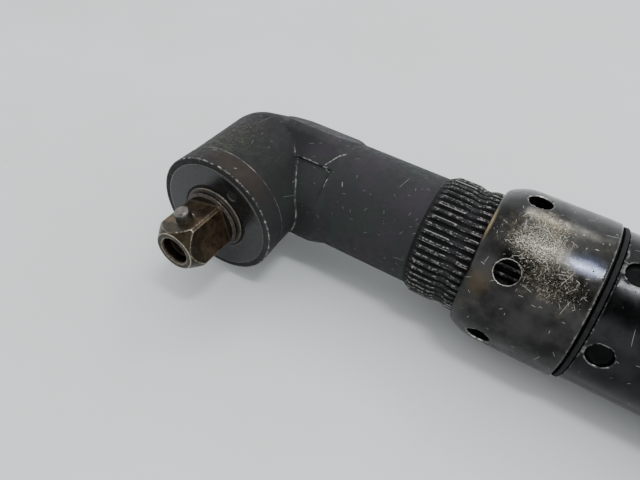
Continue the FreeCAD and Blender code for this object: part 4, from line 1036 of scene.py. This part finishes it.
def makeNut():
    radius, bend, face, end = (coupling[key] for key in ("radius", "round", "face", "end"))
    nose = outlineArc((coupling["roundEnd"], radius - bend), bend, 125.5, 90, 12)
    outline = [(face, 18.6), (face, 19.75)] + nose + [
        (101.75, radius), (end, 22.35), (end, 20.5), (88.6, 20.5), (88.6, 20.1), (85.5, 20.1),
        (85.5, 18.6), (face, 18.6)]
    nut = lathe("couplingNut", "X", outline, 192, 1.5)
    for number in range(6):
        angle = coupling["holeTurn"] - 60 * number
        tool = rod("spannerHole", around(angle, coupling["holePlace"], 15),
                   around(angle, coupling["holePlace"], 24), coupling["hole"], 1.45, 1.45, 64)
        carve(nut, tool)
    settle(nut, coupling["voxel"], 2)
    trueUp(nut, "X", [spot for spot in nose if spot[0] > 73.5] + [(101.4, radius)])
    markEdges(nut, 0.45)
    finish(nut, "tool", ["coupling_nut"], finishes["nut_steel"])


sealRing = {"start": 102.8, "end": 103.98, "inner": 20.5, "bends": [(103.05, 21.95), (103.73, 21.95)],
            "bend": 0.25}


def makeSealRing():
    start, end, inner, bend = (sealRing[key] for key in ("start", "end", "inner", "bend"))
    near, far = sealRing["bends"]
    outline = [(start, inner)] + outlineArc(near, bend, 180, 90, 4) + outlineArc(far, bend, 90, 0, 4) \
        + [(end, inner), (start, inner)]
    ring = lathe("couplingSeal", "X", outline, 192)
    markEdges(ring, 0.3)
    finish(ring, "tool", ["coupling_seal_ring"], finishes["seal_rubber"])


case = {
    "voxel": 0.46, "radius": 21.7, "hole": 3.2, "holePlace": 108.6, "holeTurn": 72.5, "floor": 19.8,
    "front": [(89.6, 17.0), (89.6, 20.0), (90.0, 20.43), (104.0, 20.43), (104.0, 21.35)],
    "rear": [(136.0, 21.4), (136.0, 20.0), (146, 20.0), (146, 18.45), (104.4, 18.45), (104.4, 14.01),
             (94.4, 14.01), (94.4, 17.0), (89.6, 17.0)],
}


def makeCase():
    radius = case["radius"]
    bend = outlineArc((104.35, radius - 0.35), 0.35, 180, 90, 3)
    outline = case["front"] + bend + [(135.7, radius)] + case["rear"]
    body = lathe("gearCase", "X", outline, 192, 2.0)
    for number in range(6):
        angle = case["holeTurn"] - 60 * number
        tool = rod("spannerHole", around(angle, case["holePlace"], case["floor"]),
                   around(angle, case["holePlace"], 23), case["hole"], 1.5, 1.5, 64)
        carve(body, tool)
    settle(body, case["voxel"], 2)
    trueUp(body, "X", [(104.9, radius), (135.3, radius)])
    markEdges(body, 0.55)
    finish(body, "tool", ["gear_case"], finishes["case_steel"])


makeNut()
makeSealRing()
makeCase()
print("coupling ready")


def copied(node, name, voxel, rounds=2):
    source = frame["nodes"][node]
    clearSelection()
    piece = source.copy()
    piece.data = source.data.copy()
    bpy.context.collection.objects.link(piece)
    piece.parent = None
    piece.matrix_world = Matrix()
    piece.name = piece.data.name = name
    pick(piece)
    bpy.ops.object.mode_set(mode="EDIT")
    bpy.ops.mesh.select_all(action="SELECT")
    bpy.ops.mesh.remove_doubles(threshold=1e-6)
    bpy.ops.object.mode_set(mode="OBJECT")
    if voxel:
        settle(piece, voxel, rounds)
    return piece


softened = {  # piece, body, slot, voxel in mm, smoothing rounds, wear
    "drive_spindle": ("driveSpindle", "spindle", "drive_steel", 0.22, 2, 0.30),
    "spindle_retaining_nut": ("retainingDisc", "tool", "disc_steel", 0.30, 1, 0.40),
    "socket_retainer_pin": ("retainerPin", "retainer", "pin_steel", 0.12, 2, 0.25),
    "throttle_lever": ("throttleLever", "lever", "lever_steel", 0.36, 3, 0.5),
    "exhaust_deflector": ("exhaustDeflector", "tool", "deflector_plastic", 0.40, 3, 0.5),
    "air_inlet_bushing": ("airInletBushing", "tool", "inlet_steel", 0.36, 2, 0.5),
    "handle": ("gripBody", "tool", "handle_alloy", 0.62, 3, 0.7),
}


def makeSoftened():
    # turned and milled pieces with their edges softened
    for node, (name, body, slotName, voxel, rounds, sharpness) in softened.items():
        piece = copied(node, name, voxel, rounds)
        markEdges(piece, sharpness)
        finish(piece, body, [node], finishes[slotName])


shell = {"bend": 0.7, "inner": 20.03,
         "bore": [(208.5, 20.03), (208.5, 18.45), (146.1, 18.45), (146.1, 20.03)]}


def makeHousing():
    low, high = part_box("motor_housing")
    start, end = low[0] / mm, high[0] / mm
    radius = (high[1] - low[1]) / 2 / mm
    bend, inner = shell["bend"], shell["inner"]
    outline = [(start, inner)] + outlineArc((start + bend, radius - bend), bend, 180, 90, 4) \
        + outlineArc((end - bend, radius - bend), bend, 90, 0, 4) \
        + [(end, inner)] + shell["bore"] + [(start, inner)]
    housing = lathe("motorHousing", "X", outline, 192, 2.5)
    markEdges(housing, 0.5)
    finish(housing, "tool", ["motor_housing"], finishes["housing_alloy"], 40)


springs = {
    "valve_spring": {"name": "valveSpring", "body": "tool", "joint": "valve_slide", "along": (0, 1, 0),
                     "travel": 4.9, "slot": "spring_steel"},
    "socket_retainer_spring": {"name": "retainerSpring", "body": "spindle", "joint": "retainer_press",
                               "along": (-0.262863, 0, 0.964833), "travel": 2.88, "slot": "spring_steel"},
}


def makeSprings():
    # each spring is copied from its part and given its finish and its own mesh
    for node, spring in springs.items():
        piece = copied(node, spring["name"], 0)
        finish(piece, spring["body"], [node], finishes[spring["slot"]])
        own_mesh(piece)


makeSoftened()
makeSprings()
makeHousing()
print("handle ready")

slots = {part["node"]: part["material_slot"] for part in record["subparts"]}
for name, node in frame["nodes"].items():
    node.data.materials.clear()
    node.data.materials.append(finishes[slots[name]])
